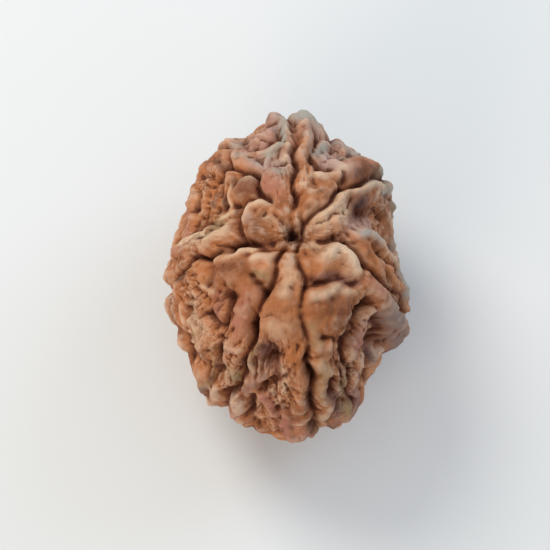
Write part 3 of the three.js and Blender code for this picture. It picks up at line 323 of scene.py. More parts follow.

# Each stain: its tone, its strength, half its width, and the line that it lies along. Some stains
# are painted light: pale and grey along ridge tops are partly worn wood and partly painted
# highlight, and dark along the floors of hollows and lines is painted shade.
STAINS_AND_PAINTED_LIGHT: tuple[tuple[Tone, float, float, Path], ...] = (
    # Broad shades: greyer towards the upper end, redder towards the lower left, and painted shade over
    # the lower end right of the south line.
    (Tone.MAUVE, 0.45, 2.8, ((-3.0, 8.6), (0, 9.8), (3.6, 8.0))),
    (Tone.ORANGE, 0.65, 2.8, ((-7.0, -3.0), (-5.6, -6.0), (-3.6, -7.0), (-0.5, -6.0))),
    (Tone.BROWN, 0.35, 2.2, ((-5.5, -3.5), (-3.5, -5.5), (1.5, -6.5), (4.5, -6.5))),
    (Tone.DARK, 0.3, 1.5, ((3.6, -8.6), (4.4, -10.6), (3.8, -13.0))),
    # Between the north-west and north lines.
    (Tone.MAUVE, 1.0, 1.1, ((-2.4, 6.2), (-1.0, 6.4))),
    (Tone.ROSE, 0.8, 0.5, ((-4.0, 7.5), (-2.6, 8.0), (-1.4, 8.6))),
    (Tone.DARK, 0.5, 0.25, ((-3.2, 7.2), (-1.4, 8.7))),
    (Tone.PALE, 0.7, 0.4, ((-0.6, 6.5), (-0.7, 6.2))),
    (Tone.GREY, 0.9, 0.5, ((-0.6, 9.9), (-0.9, 8.5), (-1.2, 7.8), (-1.8, 7.2))),
    (Tone.GREY, 0.8, 0.4, ((-4.9, 7.6), (-4.3, 8.2))),
    (Tone.ORANGE, 0.8, 0.7, ((-4.4, 6.5), (-3.1, 5.6))),
    (Tone.GREY, 0.7, 0.3, ((-4.5, 7.1), (-2.7, 6.3))),
    (Tone.GREY, 0.7, 0.4, ((-1.5, 5.3), (-0.9, 5.1))),
    (Tone.ORANGE, 0.6, 0.6, ((-1.7, 4.4), (-1.4, 4.0))),
    (Tone.ROSE, 0.8, 1.1, ((-1.9, 4.3), (-1.6, 4.0))),
    (Tone.MAUVE, 0.6, 1.3, ((-3.6, 8.2), (-1.6, 9.2))),
    (Tone.DARK, 0.7, 0.3, ((0.1, 7.3), (0.1, 6.9))),
    (Tone.DARK, 0.7, 0.3, ((0.15, 5.5), (0.15, 5.1))),
    # Between the north and north-east lines.
    (Tone.GREY, 1.0, 1.0, ((0.5, 10.2), (1.0, 9.6), (1.5, 10.0))),
    (Tone.ORANGE, 0.5, 0.4, ((0.9, 8.0), (0.9, 5.0))),
    (Tone.PURPLE, 1.0, 0.5, ((1.8, 8.7), (3.0, 7.9))),
    (Tone.GREY, 0.9, 0.6, ((2.5, 7.7), (2.0, 7.2))),
    # Mauve here is partly the saddle's rose colour, partly painted light that lifts the hollow's shade.
    (Tone.MAUVE, 1.0, 1.0, ((3.0, 7.0), (3.6, 5.9))),
    (Tone.ROSE, 0.6, 0.6, ((4.2, 7.6), (4.6, 7.4))),
    (Tone.GREY, 0.9, 0.4, ((3.2, 8.2), (4.0, 8.4), (5.0, 8.0))),
    (Tone.PURPLE, 0.9, 0.6, ((1.9, 5.9), (2.8, 5.7))),
    (Tone.PALE, 0.7, 0.35, ((1.5, 4.9), (2.6, 5.0), (3.4, 5.3), (4.0, 5.7))),
    # The knob by the north-east line: the orange is its colour, and the brown and dark over its face paint
    # the shade of a face turned from the light.
    (Tone.ORANGE, 1.0, 0.9, ((5.0, 5.1), (5.6, 5.6))),
    (Tone.BROWN, 1.0, 0.9, ((4.7, 5.2), (5.6, 5.5), (6.2, 5.3))),
    (Tone.DARK, 0.35, 0.8, ((4.6, 4.9), (5.4, 5.0))),
    (Tone.GREY, 1.0, 0.4, ((4.4, 6.5), (5.6, 6.8), (6.8, 6.5), (7.2, 5.8))),
    (Tone.OLIVE, 0.7, 0.5, ((6.9, 5.7), (6.7, 5.1))),
    # Between the north-east and east lines.
    (Tone.PALE, 0.8, 0.35, ((2.6, 2.2), (3.4, 3.0), (4.2, 3.6), (5.0, 4.0), (6.0, 4.2))),
    (Tone.GREY, 0.9, 0.4, ((6.0, 4.3), (7.0, 4.6), (7.6, 4.6))),
    (Tone.PURPLE, 1.0, 1.0, ((5.4, 2.6), (6.1, 2.6))),
    (Tone.DARK, 1.0, 0.85, ((5.4, 2.5), (5.9, 2.7))),
    (Tone.GREY, 0.9, 0.45, ((7.4, 3.9), (8.3, 4.0), (8.7, 3.2), (8.5, 2.4))),
    (Tone.OLIVE, 0.9, 0.45, ((8.0, 3.3), (7.9, 2.6))),
    (Tone.MAUVE, 0.6, 0.9, ((4.6, 0.9), (6.2, 1.2))),
    # Painted light: this pale patch lightens a face that lies in shade.
    (Tone.PALE, 0.75, 1.0, ((2.6, 1.6), (3.8, 2.2))),
    (Tone.DARK, 0.6, 0.3, ((2.8, -0.3), (3.1, -0.4))),
    (Tone.GREY, 0.9, 0.4, ((5.3, 0.3), (6.1, 0.4), (6.9, -0.2))),
    (Tone.ORANGE, 1.0, 0.9, ((5.7, -0.7), (6.5, -1.8))),
    (Tone.BROWN, 0.6, 0.7, ((5.7, -0.9), (6.2, -1.6))),
    (Tone.GREY, 0.6, 0.7, ((8.2, 0.8), (8.5, -0.6), (8.8, -1.8))),
    (Tone.ORANGE, 0.9, 0.45, ((8.1, -2.9), (8.3, -3.2))),
    (Tone.GREY, 1.0, 0.7, ((8.9, -2.1), (9.6, -2.7), (9.8, -3.8), (9.8, -4.7))),
    (Tone.ORANGE, 0.9, 0.5, ((9.5, -5.2), (9.4, -5.7))),
    # Between the east and south lines.
    (Tone.PALE, 0.6, 0.3, ((1.4, -0.4), (2.0, -0.8))),
    (Tone.PALE, 1.0, 0.75, ((3.1, -1.3), (3.8, -1.1), (4.4, -1.5), (4.9, -2.3))),
    (Tone.ORANGE, 0.7, 0.7, ((2.0, -2.3), (3.6, -2.6))),
    (Tone.PURPLE, 0.9, 0.4, ((1.8, -3.4), (3.4, -3.5), (5.2, -3.6))),
    (Tone.DARK, 0.7, 0.25, ((0.6, -2.2), (0.6, -2.5))),
    (Tone.DARK, 0.8, 0.3, ((1.0, -3.6), (1.0, -4.0))),
    (Tone.PALE, 0.7, 0.35, ((1.8, -5.0), (2.5, -4.8), (3.2, -4.3), (4.2, -4.3))),
    (Tone.BROWN, 1.0, 1.4, ((2.6, -6.0), (4.2, -6.0))),
    (Tone.ROSE, 0.5, 0.6, ((6.4, -3.6), (7.0, -4.6))),
    (Tone.GREY, 0.4, 1.0, ((7.9, -6.0), (8.3, -7.2), (8.3, -9.0))),
    (Tone.DARK, 0.3, 1.2, ((7.8, -6.6), (8.1, -7.8), (7.8, -9.0))),
    (Tone.PURPLE, 0.9, 1.2, ((7.9, -6.4), (8.3, -7.4), (8.2, -9.0))),
    (Tone.DARK, 0.7, 0.5, ((5.9, -5.5), (5.3, -6.6), (4.8, -7.4))),
    (Tone.ROSE, 1.0, 0.5, ((6.4, -7.1), (5.4, -8.2), (4.9, -9.1))),
    (Tone.DARK, 0.7, 0.4, ((7.1, -6.6), (6.9, -8.0), (6.0, -9.2))),
    (Tone.DARK, 0.8, 0.35, ((4.2, -8.4), (4.1, -9.6), (4.4, -10.4))),
    (Tone.PALE, 0.8, 0.25, ((4.7, -9.6), (4.9, -9.6))),
    (Tone.OLIVE, 0.7, 0.5, ((1.4, -7.4), (1.6, -8.8))),
    (Tone.OLIVE, 0.6, 0.5, ((2.6, -9.8), (2.4, -12.4), (2.5, -15.6))),
    (Tone.DARK, 0.8, 0.5, ((1.2, -10.6), (1.4, -13.2), (1.7, -15.6))),
    (Tone.OLIVE, 0.8, 0.5, ((4.1, -12.0), (4.1, -13.2))),
    (Tone.DARK, 0.8, 0.4, ((3.3, -11.8), (3.3, -12.8))),
    # Purple and dark over the lower right paint the shade that lies there.
    (Tone.PURPLE, 0.8, 0.9, ((6.2, -9.4), (5.6, -11.4), (5.0, -13.0))),
    (Tone.DARK, 0.4, 0.6, ((4.2, -8.8), (4.2, -10.2), (4.2, -11.8))),
    (Tone.DARK, 0.8, 0.4, ((3.9, -13.8), (3.2, -14.8))),
    # Between the south and south-west lines.
    (Tone.PALE, 0.5, 0.6, ((-0.3, -3.2), (-0.7, -4.6))),
    (Tone.ORANGE, 0.7, 1.0, ((-0.6, -5.6), (-0.5, -6.6))),
    (Tone.PALE, 0.25, 0.8, ((-1.6, -7.2), (-0.4, -7.4))),
    (Tone.OLIVE, 0.5, 0.35, ((-3.2, -8.6), (-3.3, -11.4))),
    (Tone.PURPLE, 0.9, 0.9, ((-2.1, -9.2), (-1.9, -10.6))),
    (Tone.DARK, 0.35, 0.5, ((-2.3, -9.4), (-2.0, -10.4))),
    (Tone.ORANGE, 1.0, 0.8, ((0, -9.0), (0.1, -9.8))),
    (Tone.ORANGE, 0.5, 0.5, ((0.8, -10.6), (0.9, -13.8))),
    (Tone.PALE, 0.8, 0.3, ((-0.8, -11.1), (-0.6, -12.6))),
    (Tone.DARK, 0.8, 0.3, ((-1.4, -11.5), (-1.3, -12.0))),
    (Tone.DARK, 0.8, 0.35, ((-2.4, -12.6), (-2.9, -12.3))),
    (Tone.DARK, 0.7, 0.3, ((-3.1, -13.3), (-3.4, -13.7))),
    (Tone.PURPLE, 0.7, 0.5, ((-4.0, -12.6), (-3.0, -11.5))),
    (Tone.ROSE, 0.7, 0.5, ((-4.5, -13.9), (-4.6, -14.4))),
    (Tone.ROSE, 1.0, 0.6, ((-2.3, -13.4), (-1.3, -14.5), (-0.5, -15.2))),
    (Tone.DARK, 0.5, 0.25, ((-0.7, -13.9), (0, -14.8))),
    (Tone.ROSE, 0.6, 0.7, ((0.2, -15.6), (1.1, -15.9))),
    # Dark flakes of pulp over the lower end.
    (Tone.DARK, 0.8, 0.3, ((-2.6, -8.9), (-2.2, -9.3))),
    (Tone.DARK, 0.8, 0.28, ((-1.4, -10.2), (-1.0, -10.9))),
    (Tone.DARK, 0.8, 0.3, ((-2.9, -10.6), (-2.5, -11.4))),
    (Tone.DARK, 0.7, 0.3, ((-2.0, -12.6), (-1.5, -13.2))),
    (Tone.DARK, 0.7, 0.25, ((-0.2, -11.6), (0.1, -12.4))),
    (Tone.DARK, 0.8, 0.35, ((2.9, -12.2), (3.4, -13.4))),
    (Tone.DARK, 0.8, 0.3, ((3.7, -10.4), (3.9, -11.4))),
    (Tone.DARK, 0.7, 0.3, ((4.9, -9.6), (4.6, -10.6))),
    (Tone.PURPLE, 0.9, 0.5, ((3.0, -12.8), (3.6, -14.0))),
    # Between the south-west and west lines.
    (Tone.PALE, 0.8, 0.3, ((-6.3, -1.9), (-5.4, -1.9), (-4.7, -1.5), (-4.1, -1.2), (-3.3, -1.2))),
    (Tone.BROWN, 1.0, 0.9, ((-5.7, -3.0), (-4.0, -2.6))),
    (Tone.PALE, 0.7, 0.3, ((-3.0, -2.0), (-2.2, -1.7), (-1.5, -1.8))),
    (Tone.ORANGE, 0.6, 0.6, ((-2.6, -2.6), (-2.0, -2.5))),
    (Tone.OLIVE, 0.9, 0.4, ((-2.7, -3.3), (-2.4, -3.5))),
    (Tone.DARK, 0.8, 0.3, ((-3.1, -3.7), (-2.8, -4.2))),
    (Tone.ORANGE, 0.5, 0.9, ((-8.9, -3.4), (-7.0, -3.0))),
    (Tone.DARK, 0.8, 0.2, ((-9.2, -3.0), (-8.6, -2.9))),
    (Tone.DARK, 0.7, 0.25, ((-6.4, -3.5), (-6.2, -3.8))),
    (Tone.PALE, 0.8, 0.2, ((-7.6, -4.3), (-6.4, -4.3))),
    (Tone.PALE, 0.6, 0.2, ((-8.5, -4.5), (-8.0, -6.0))),
    (Tone.PALE, 0.6, 0.9, ((-8.3, -6.2), (-7.7, -7.4))),
    (Tone.ORANGE, 0.7, 0.9, ((-7.0, -8.4), (-6.6, -9.6))),
    (Tone.DARK, 0.7, 0.3, ((-5.6, -4.9), (-5.1, -5.6), (-5.2, -6.5))),
    (Tone.ROSE, 0.9, 0.5, ((-6.2, -4.9), (-6.2, -6.7))),
    (Tone.ROSE, 0.7, 0.8, ((-3.6, -5.0), (-4.2, -7.4))),
    (Tone.DARK, 0.6, 0.3, ((-7.4, -9.8), (-7.0, -11.0), (-6.5, -12.0))),
    (Tone.DARK, 0.9, 0.25, ((-6.1, -9.3), (-6.1, -10.3))),
    (Tone.OLIVE, 0.5, 0.4, ((-6.6, -9.2), (-6.6, -11.2))),
    (Tone.PALE, 0.5, 0.3, ((-5.5, -8.6), (-5.5, -11.2))),
    (Tone.OLIVE, 0.9, 0.6, ((-5.1, -11.5), (-4.9, -11.7))),
    (Tone.DARK, 0.9, 0.4, ((-4.0, -10.8), (-4.1, -11.3))),
    (Tone.DARK, 0.7, 0.35, ((-4.8, -12.4), (-4.8, -12.7))),
    # Between the west and north-west lines.
    (Tone.ORANGE, 0.8, 0.6, ((-5.4, 7.2), (-5.3, 6.9))),
    (Tone.DARK, 0.7, 0.35, ((-5.3, 6.2), (-5.4, 5.9))),
    (Tone.ORANGE, 0.8, 0.6, ((-6.6, 6.0), (-6.3, 5.8))),
    (Tone.BROWN, 1.0, 0.85, ((-3.8, 4.2), (-3.8, 3.6))),
    (Tone.DARK, 0.15, 0.8, ((-3.9, 4.2), (-3.9, 3.6))),
    (Tone.PALE, 0.7, 0.35, ((-4.1, 4.8), (-3.4, 4.8))),
    (Tone.ORANGE, 0.6, 0.6, ((-5.3, 5.2), (-5.3, 4.8))),
    (Tone.ORANGE, 0.6, 1.0, ((-6.6, 4.6), (-6.6, 2.6))),
    (Tone.PALE, 0.8, 0.22, ((-5.1, 4.1), (-5.2, 2.5))),
    (Tone.DARK, 0.8, 0.3, ((-4.9, 4.5), (-4.8, 4.2))),
    (Tone.DARK, 0.7, 0.25, ((-5.6, 3.6), (-5.6, 2.4))),
    (Tone.DARK, 0.7, 0.22, ((-6.2, 4.0), (-6.3, 2.8))),
    (Tone.DARK, 0.7, 0.3, ((-4.6, 2.2), (-4.7, 1.9))),
    (Tone.PALE, 0.9, 0.35, ((-3.5, 2.2), (-2.9, 2.6), (-2.1, 2.7))),
    (Tone.BROWN, 0.7, 0.9, ((-3.0, 0.4), (-2.6, 1.1))),
    (Tone.DARK, 0.6, 0.3, ((-3.1, -0.4), (-2.6, -0.4))),
    (Tone.PALE, 0.6, 0.3, ((-2.0, 1.5), (-1.2, 1.2))),
    (Tone.ROSE, 0.7, 0.25, ((-4.4, 1.1), (-4.3, 0))),
    (Tone.PALE, 0.8, 0.2, ((-5.9, 1.4), (-4.9, 1.9))),
    (Tone.OLIVE, 0.9, 0.7, ((-6.4, 1.0), (-6.2, 0.6))),
    (Tone.PALE, 0.9, 0.4, ((-5.4, 0.7), (-5.2, 0.5))),
    (Tone.PALE, 1.0, 0.45, ((-7.6, 0.6), (-7.5, 0.2))),
    (Tone.DARK, 0.8, 0.2, ((-8.0, -0.15), (-7.5, -0.15))),
    (Tone.ROSE, 0.8, 0.4, ((-8.5, 1.8), (-8.7, 0.4), (-8.4, -0.4))),
    (Tone.PALE, 0.6, 0.3, ((-8.6, -0.7), (-7.4, -0.4), (-6.3, 0), (-5.4, 0.2))),
    # At the mouth; the dark patches in its middle are painted shade in the pit.
    (Tone.DARK, 0.9, 0.35, ((-0.1, 0.1), (0.1, -0.1))),
    (Tone.PALE, 0.7, 0.22, ((-0.8, 1.0), (-0.6, 0.7))),
    (Tone.PALE, 0.7, 0.2, ((0.9, 0.7), (0.7, 0.4))),
    (Tone.DARK, 0.7, 0.2, ((-0.7, -0.2), (-0.3, -0.5))),
)


def linear(colour: str) -> tuple[float, float, float, float]:
    """Turns an sRGB hex colour into the linear colour that a shader socket takes.

    Args:
        colour: the colour as "#rrggbb".

    Returns:
        Linear red, green, blue and an alpha of 1.
    """
    parts = [int(colour[k : k + 2], 16) / 255 for k in (1, 3, 5)]
    red, green, blue = (c / 12.92 if c <= 0.04045 else ((c + 0.055) / 1.055) ** 2.4 for c in parts)
    return red, green, blue, 1.0


def seeded_draw(seed: int) -> Callable[[], float]:
    """Makes a draw from 0 to 1 that gives the same run of numbers for the same seed.

    Args:
        seed: any whole number.

    Returns:
        A function that gives the next number.
    """
    mask = 0xFFFFFFFF
    stride = 0x6D2B79F5
    state = seed

    def draw() -> float:
        """Returns the next number of the run."""
        nonlocal state
        state = (state + stride) & mask
        t = ((state ^ (state >> 15)) * (1 | state)) & mask
        t = (((t + (((t ^ (t >> 7)) * (61 | t)) & mask)) & mask) ^ t) & mask
        return ((t ^ (t >> 14)) & mask) / (mask + 1)

    return draw


def bell(distance: Array, half: float) -> Array:
    """Returns a smooth bump that is 1 at no distance and falls off over the half width."""
    return np.exp(-((distance / half) ** 2))


def distance_to(route: Array, points: Array) -> Array:
    """Measures how far points lie from a route of straight stretches.

    Args:
        route: the route's corners, one row each.
        points: the points, one row each.

    Returns:
        Each point's shortest distance to the route.
    """
    best = np.full(len(points), np.inf)
    for start, end in zip(route[:-1], route[1:]):
        way = end - start
        share = np.clip((points - start) @ way / max(way @ way, TINY), 0, 1)
        best = np.minimum(best, np.linalg.norm(points - start - share[:, None] * way, axis=1))
    return best


@dataclass(frozen=True)
class Stroke:
    """A boss, hollow or stain on the stone: a route over the core, half a width and an amount."""

    half: float
    amount: float
    route: Array

    def near(self, points: Array, reach: float) -> Array:
        """Picks out the points that the stroke may touch.

        Args:
            points: places on the core, one row each.
            reach: how far the stroke acts, in half widths.

        Returns:
            The indices of the points within reach of the route's middle.
        """
        middle = self.route.mean(axis=0)
        length = np.linalg.norm(self.route - middle, axis=1).max()
        return np.flatnonzero(np.linalg.norm(points - middle, axis=1) < length + reach * self.half)


@dataclass(frozen=True)
class Core:
    """The rounded body under the bosses, and the view in which places on it were read."""

    half_height: float = 10.1
    squareness: float = 2.25
    lengthening: float = 1.03
    plan: tuple[float, ...] = (
        7.85, 7.8, 9.85, 9.95, 11.9, 11.1, 10.15, 8.95, 9.25, 9.4, 10.2, 11.5, 12.2, 11.35, 8.5, 9.3,
    )
    view_elevation: float = math.radians(72)
    mean_relief: float = 0.7
    mouth_height: float = 9.8
    outward_halves: tuple[float, float] = (8.6, 12.2)
    run_on_facing: float = 0.55
    run_on_length: float = 3.2

    def plan_radius(self, angle: Array) -> Array:
        """Returns the radius in plan at each angle, on a smooth closed curve through the plan."""
        count = len(self.plan)
        turn = (angle / (2 * math.pi) * count + 2 * count) % count
        first = np.floor(turn).astype(int)
        t = turn - first
        a, b, c, d = (np.take(self.plan, (first + k) % count) for k in (-1, 0, 1, 2))
        return b + 0.5 * t * (c - a + t * (2 * a - 5 * b + 4 * c - d + t * (3 * (b - c) + d - a)))

    def radius(self, ways: Array, relief: float = 0.0) -> Array:
        """Measures the core from its centre.

        Args:
            ways: unit directions, one row each.
            relief: a height added evenly all over.

        Returns:
            The core's radius along each direction.
        """
        x, y, z = ways[:, 0], ways[:, 1] / self.lengthening, np.abs(ways[:, 2])
        plan = self.plan_radius(np.arctan2(y, x)) + relief
        p = self.squareness
        total = (np.hypot(x, y) / plan) ** p + (z / (self.half_height + relief)) ** p
        return total ** (-1 / p)

    def place(self, ways: Array) -> Array:
        """Returns the places on the core along directions of any length."""
        ways = ways / np.linalg.norm(ways, axis=1)[:, None]
        return ways * self.radius(ways)[:, None]

    def outward(self, places: Array) -> Array:
        """Returns the way out of the core at each place, square to an ellipsoid of its size."""
        across, lengthwise = self.outward_halves
        sizes = np.array([across, lengthwise * self.lengthening, self.half_height])
        ways = places / sizes**2
        return ways / np.linalg.norm(ways, axis=1)[:, None]

    def view_axes(self) -> tuple[Array, Array]:
        """Returns the camera's way along its view, and its way up."""
        lean = self.view_elevation
        return (
            np.array([0, math.cos(lean), -math.sin(lean)]),
            np.array([0, math.sin(lean), math.cos(lean)]),
        )

    def place_in_view(self, right: float, up: float) -> Array:
        """Finds the place on the core under a point of the view.

        Args:
            right: millimetres right of the mouth.
            up: millimetres up from the mouth.

        Returns:
            That place, or the nearest one on the core's outline.
        """
        along, upward = self.view_axes()
        start = np.array([right, 0, self.mouth_height]) + up * upward
        reach, steps = 30, 1200
        ray = start + along * (reach * (2 * np.arange(steps + 1) / steps - 1))[:, None]
        lengths = np.linalg.norm(ray, axis=1)
        outside = lengths / self.radius(ray / lengths[:, None], self.mean_relief)
        first = int(np.argmax(outside <= 1)) if (outside <= 1).any() else int(np.argmin(outside))
        return self.place(ray[first : first + 1])[0]

    def route(self, path: Path) -> Array:
        """Finds the places on the core under the points of a path.

        Args:
            path: the points of the view.

        Returns:
            Their places, and one more past the outline where the path ends at it.
        """
        places = [self.place_in_view(*point) for point in path]
        last = places[-1]
        along, _ = self.view_axes()
        if -self.outward(last[None])[0] @ along <= self.run_on_facing:
            reach = float(np.linalg.norm(last))
            down = math.acos(last[2] / reach) + self.run_on_length / reach
            places.append(self.at_angles(down, math.atan2(last[1], last[0])))
        return np.array(places)

    def at_angles(self, down: float, longitude: float) -> Array:
        """Returns the place at an angle down from the mouth and a longitude from +X."""
        way = [
            math.sin(down) * math.cos(longitude),
            math.sin(down) * math.sin(longitude),
            math.cos(down),
        ]
        return self.place(np.array([way]))[0]


def angle_down(places: Array) -> Array:
    """Returns each place's angle down from the mouth."""
    return np.arccos(places[:, 2] / np.linalg.norm(places, axis=1))


def longitude_at(route: Array, down: float) -> float:
    """Finds where a line passes an angle down from the mouth.

    Args:
        route: the line's places on the core.
        down: the angle.

    Returns:
        The line's longitude there.
    """
    angles = angle_down(route)
    past = np.flatnonzero(angles >= down)
    k = max(int(past[0]), 1) if len(past) else len(route) - 1
    share = min(max((down - angles[k - 1]) / (angles[k] - angles[k - 1]), 0), 1)
    middle = route[k - 1] + share * (route[k] - route[k - 1])
    return math.atan2(middle[1], middle[0])


def within(limits: tuple[float, float], draw: Callable[[], float]) -> float:
    """Draws a value between two limits."""
    return limits[0] + (limits[1] - limits[0]) * draw()


@dataclass(frozen=True)
class Face:
    """The stretch between two lines at an angle down from the mouth."""

    down: float
    left: float
    gap: float
    around: float

    @property
    def width(self) -> float:
        """The stretch's width in millimetres."""
        return self.gap * self.around

    @classmethod
    def between(cls, core: Core, line: Array, after: Array, down: float) -> Face:
        """Finds the stretch from one line to the next.

        Args:
            core: the core that the lines lie on.
            line: the places of the line on the left.
            after: the places of the line on the right.
            down: the angle down from the mouth.

        Returns:
            The stretch.
        """
        left = longitude_at(line, down)
        gap = (longitude_at(after, down) - left + 4 * math.pi) % (2 * math.pi)
        middle = core.at_angles(down, left + gap / 2)
        return cls(down, left, gap, math.hypot(middle[0], middle[1]))


@dataclass(frozen=True)
class HiddenSide:
    """The rule for bosses out of the camera's sight: rows down each face and a lip by each line.

    A pair of values is the least and the most of what is drawn.
    """

    core: Core
    seed: int = 7
    first_angle: float = 50
    last_angle: float = 152
    mean_radius: float = 10
    row_step: float = 2.1
    across_step: float = 2.2
    shake: float = 0.3
    length: tuple[float, float] = (0.6, 2.2)
    slant: tuple[float, float] = (-0.9, 0.9)
    half: tuple[float, float] = (0.62, 1.12)
    half_of_face: float = 0.28
    height: tuple[float, float] = (0.75, 1.5)
    full_face: float = 3
    lipped_face: float = 1.8
    lip_offset: tuple[float, float] = (0.72, 0.98)
    lip_length: tuple[float, float] = (1.15, 1.9)
    lip_height: tuple[float, float] = (0.74, 1.26)
    lip_half: float = 0.5
    facing: float = 0.12

    def is_in_sight(self, stroke: Stroke) -> bool:
        """Tells whether the middle of a short stroke is turned to the camera."""
        middle = stroke.route.mean(axis=0)
        along, _ = self.core.view_axes()
        return bool(-self.core.outward(middle[None])[0] @ along > self.facing)

    def bosses(self, lines: list[Array]) -> list[Stroke]:
        """Draws the bosses and lips of the hidden side.

        Args:
            lines: the seven lines' places on the core.

        Returns:
            The strokes, in a fixed order.
        """
        draw = seeded_draw(self.seed)
        ordered = sorted(lines, key=lambda line: longitude_at(line, math.pi / 2))
        first, last = math.radians(self.first_angle), math.radians(self.last_angle)
        rows = math.floor((last - first) * self.mean_radius / self.row_step)
        found: list[Stroke] = []
        for k, line in enumerate(ordered):
            after = ordered[(k + 1) % len(ordered)]
            for row in range(rows + 1):
                face = Face.between(self.core, line, after, first + (last - first) * row / rows)
                found += self.row_of_bosses(face, draw)
                found += self.lips(face, draw)
        return [stroke for stroke in found if not self.is_in_sight(stroke)]

    def stroke(
        self, half: float, height: float, place: tuple[float, float, float], length: float, slant: float
    ) -> Stroke:
        """Makes a short stroke about a place.

        Args:
            half: half the boss's width.
            height: its height.
            place: its angle down from the mouth, its longitude and its distance from the axis.
            length: the stroke's length.
            slant: its angle to the way down.

        Returns:
            The stroke.
        """
        down, longitude, around = place
        ends = [
            self.core.at_angles(
                down + side * length * math.cos(slant) / self.mean_radius,
                longitude + side * length * math.sin(slant) / around,
            )
            for side in (-0.5, 0.5)
        ]
        return Stroke(half, height, np.array(ends))

    def row_of_bosses(self, face: Face, draw: Callable[[], float]) -> list[Stroke]:
        """Draws one row of bosses across a face."""
        margin = self.lip_offset[0]
        inner = face.width - 2 * margin
        columns = max(1, math.floor(inner / self.across_step + 0.5))
        found = []
        for column in range(columns):
            shaken = within((-self.shake, self.shake), draw)
            across = margin + inner * (column + 0.5 + shaken) / columns
            centre = face.down + within((-0.5, 0.5), draw) * self.row_step / self.mean_radius
            length = self.length[0] + (self.length[1] - self.length[0]) * draw() ** 2
            slant = within(self.slant, draw)
            half = min(within(self.half, draw), face.width * self.half_of_face)
            height = within(self.height, draw) * min(1, face.width / self.full_face)
            place = (centre, face.left + across / face.around, face.around)
            found.append(self.stroke(half, height, place, length, slant))
        return found

    def lips(self, face: Face, draw: Callable[[], float]) -> list[Stroke]:
        """Draws the lips that a face has along its two lines."""
        if face.width < self.lipped_face:
            return []
        found = []
        for edge, side in ((face.left, 1), (face.left + face.gap, -1)):
            longitude = edge + side * within(self.lip_offset, draw) / face.around
            length = within(self.lip_length, draw)
            height = within(self.lip_height, draw) * min(1, face.width / self.full_face)
            found.append(
                self.stroke(self.lip_half, height, (face.down, longitude, face.around), length, 0)
            )
        return found


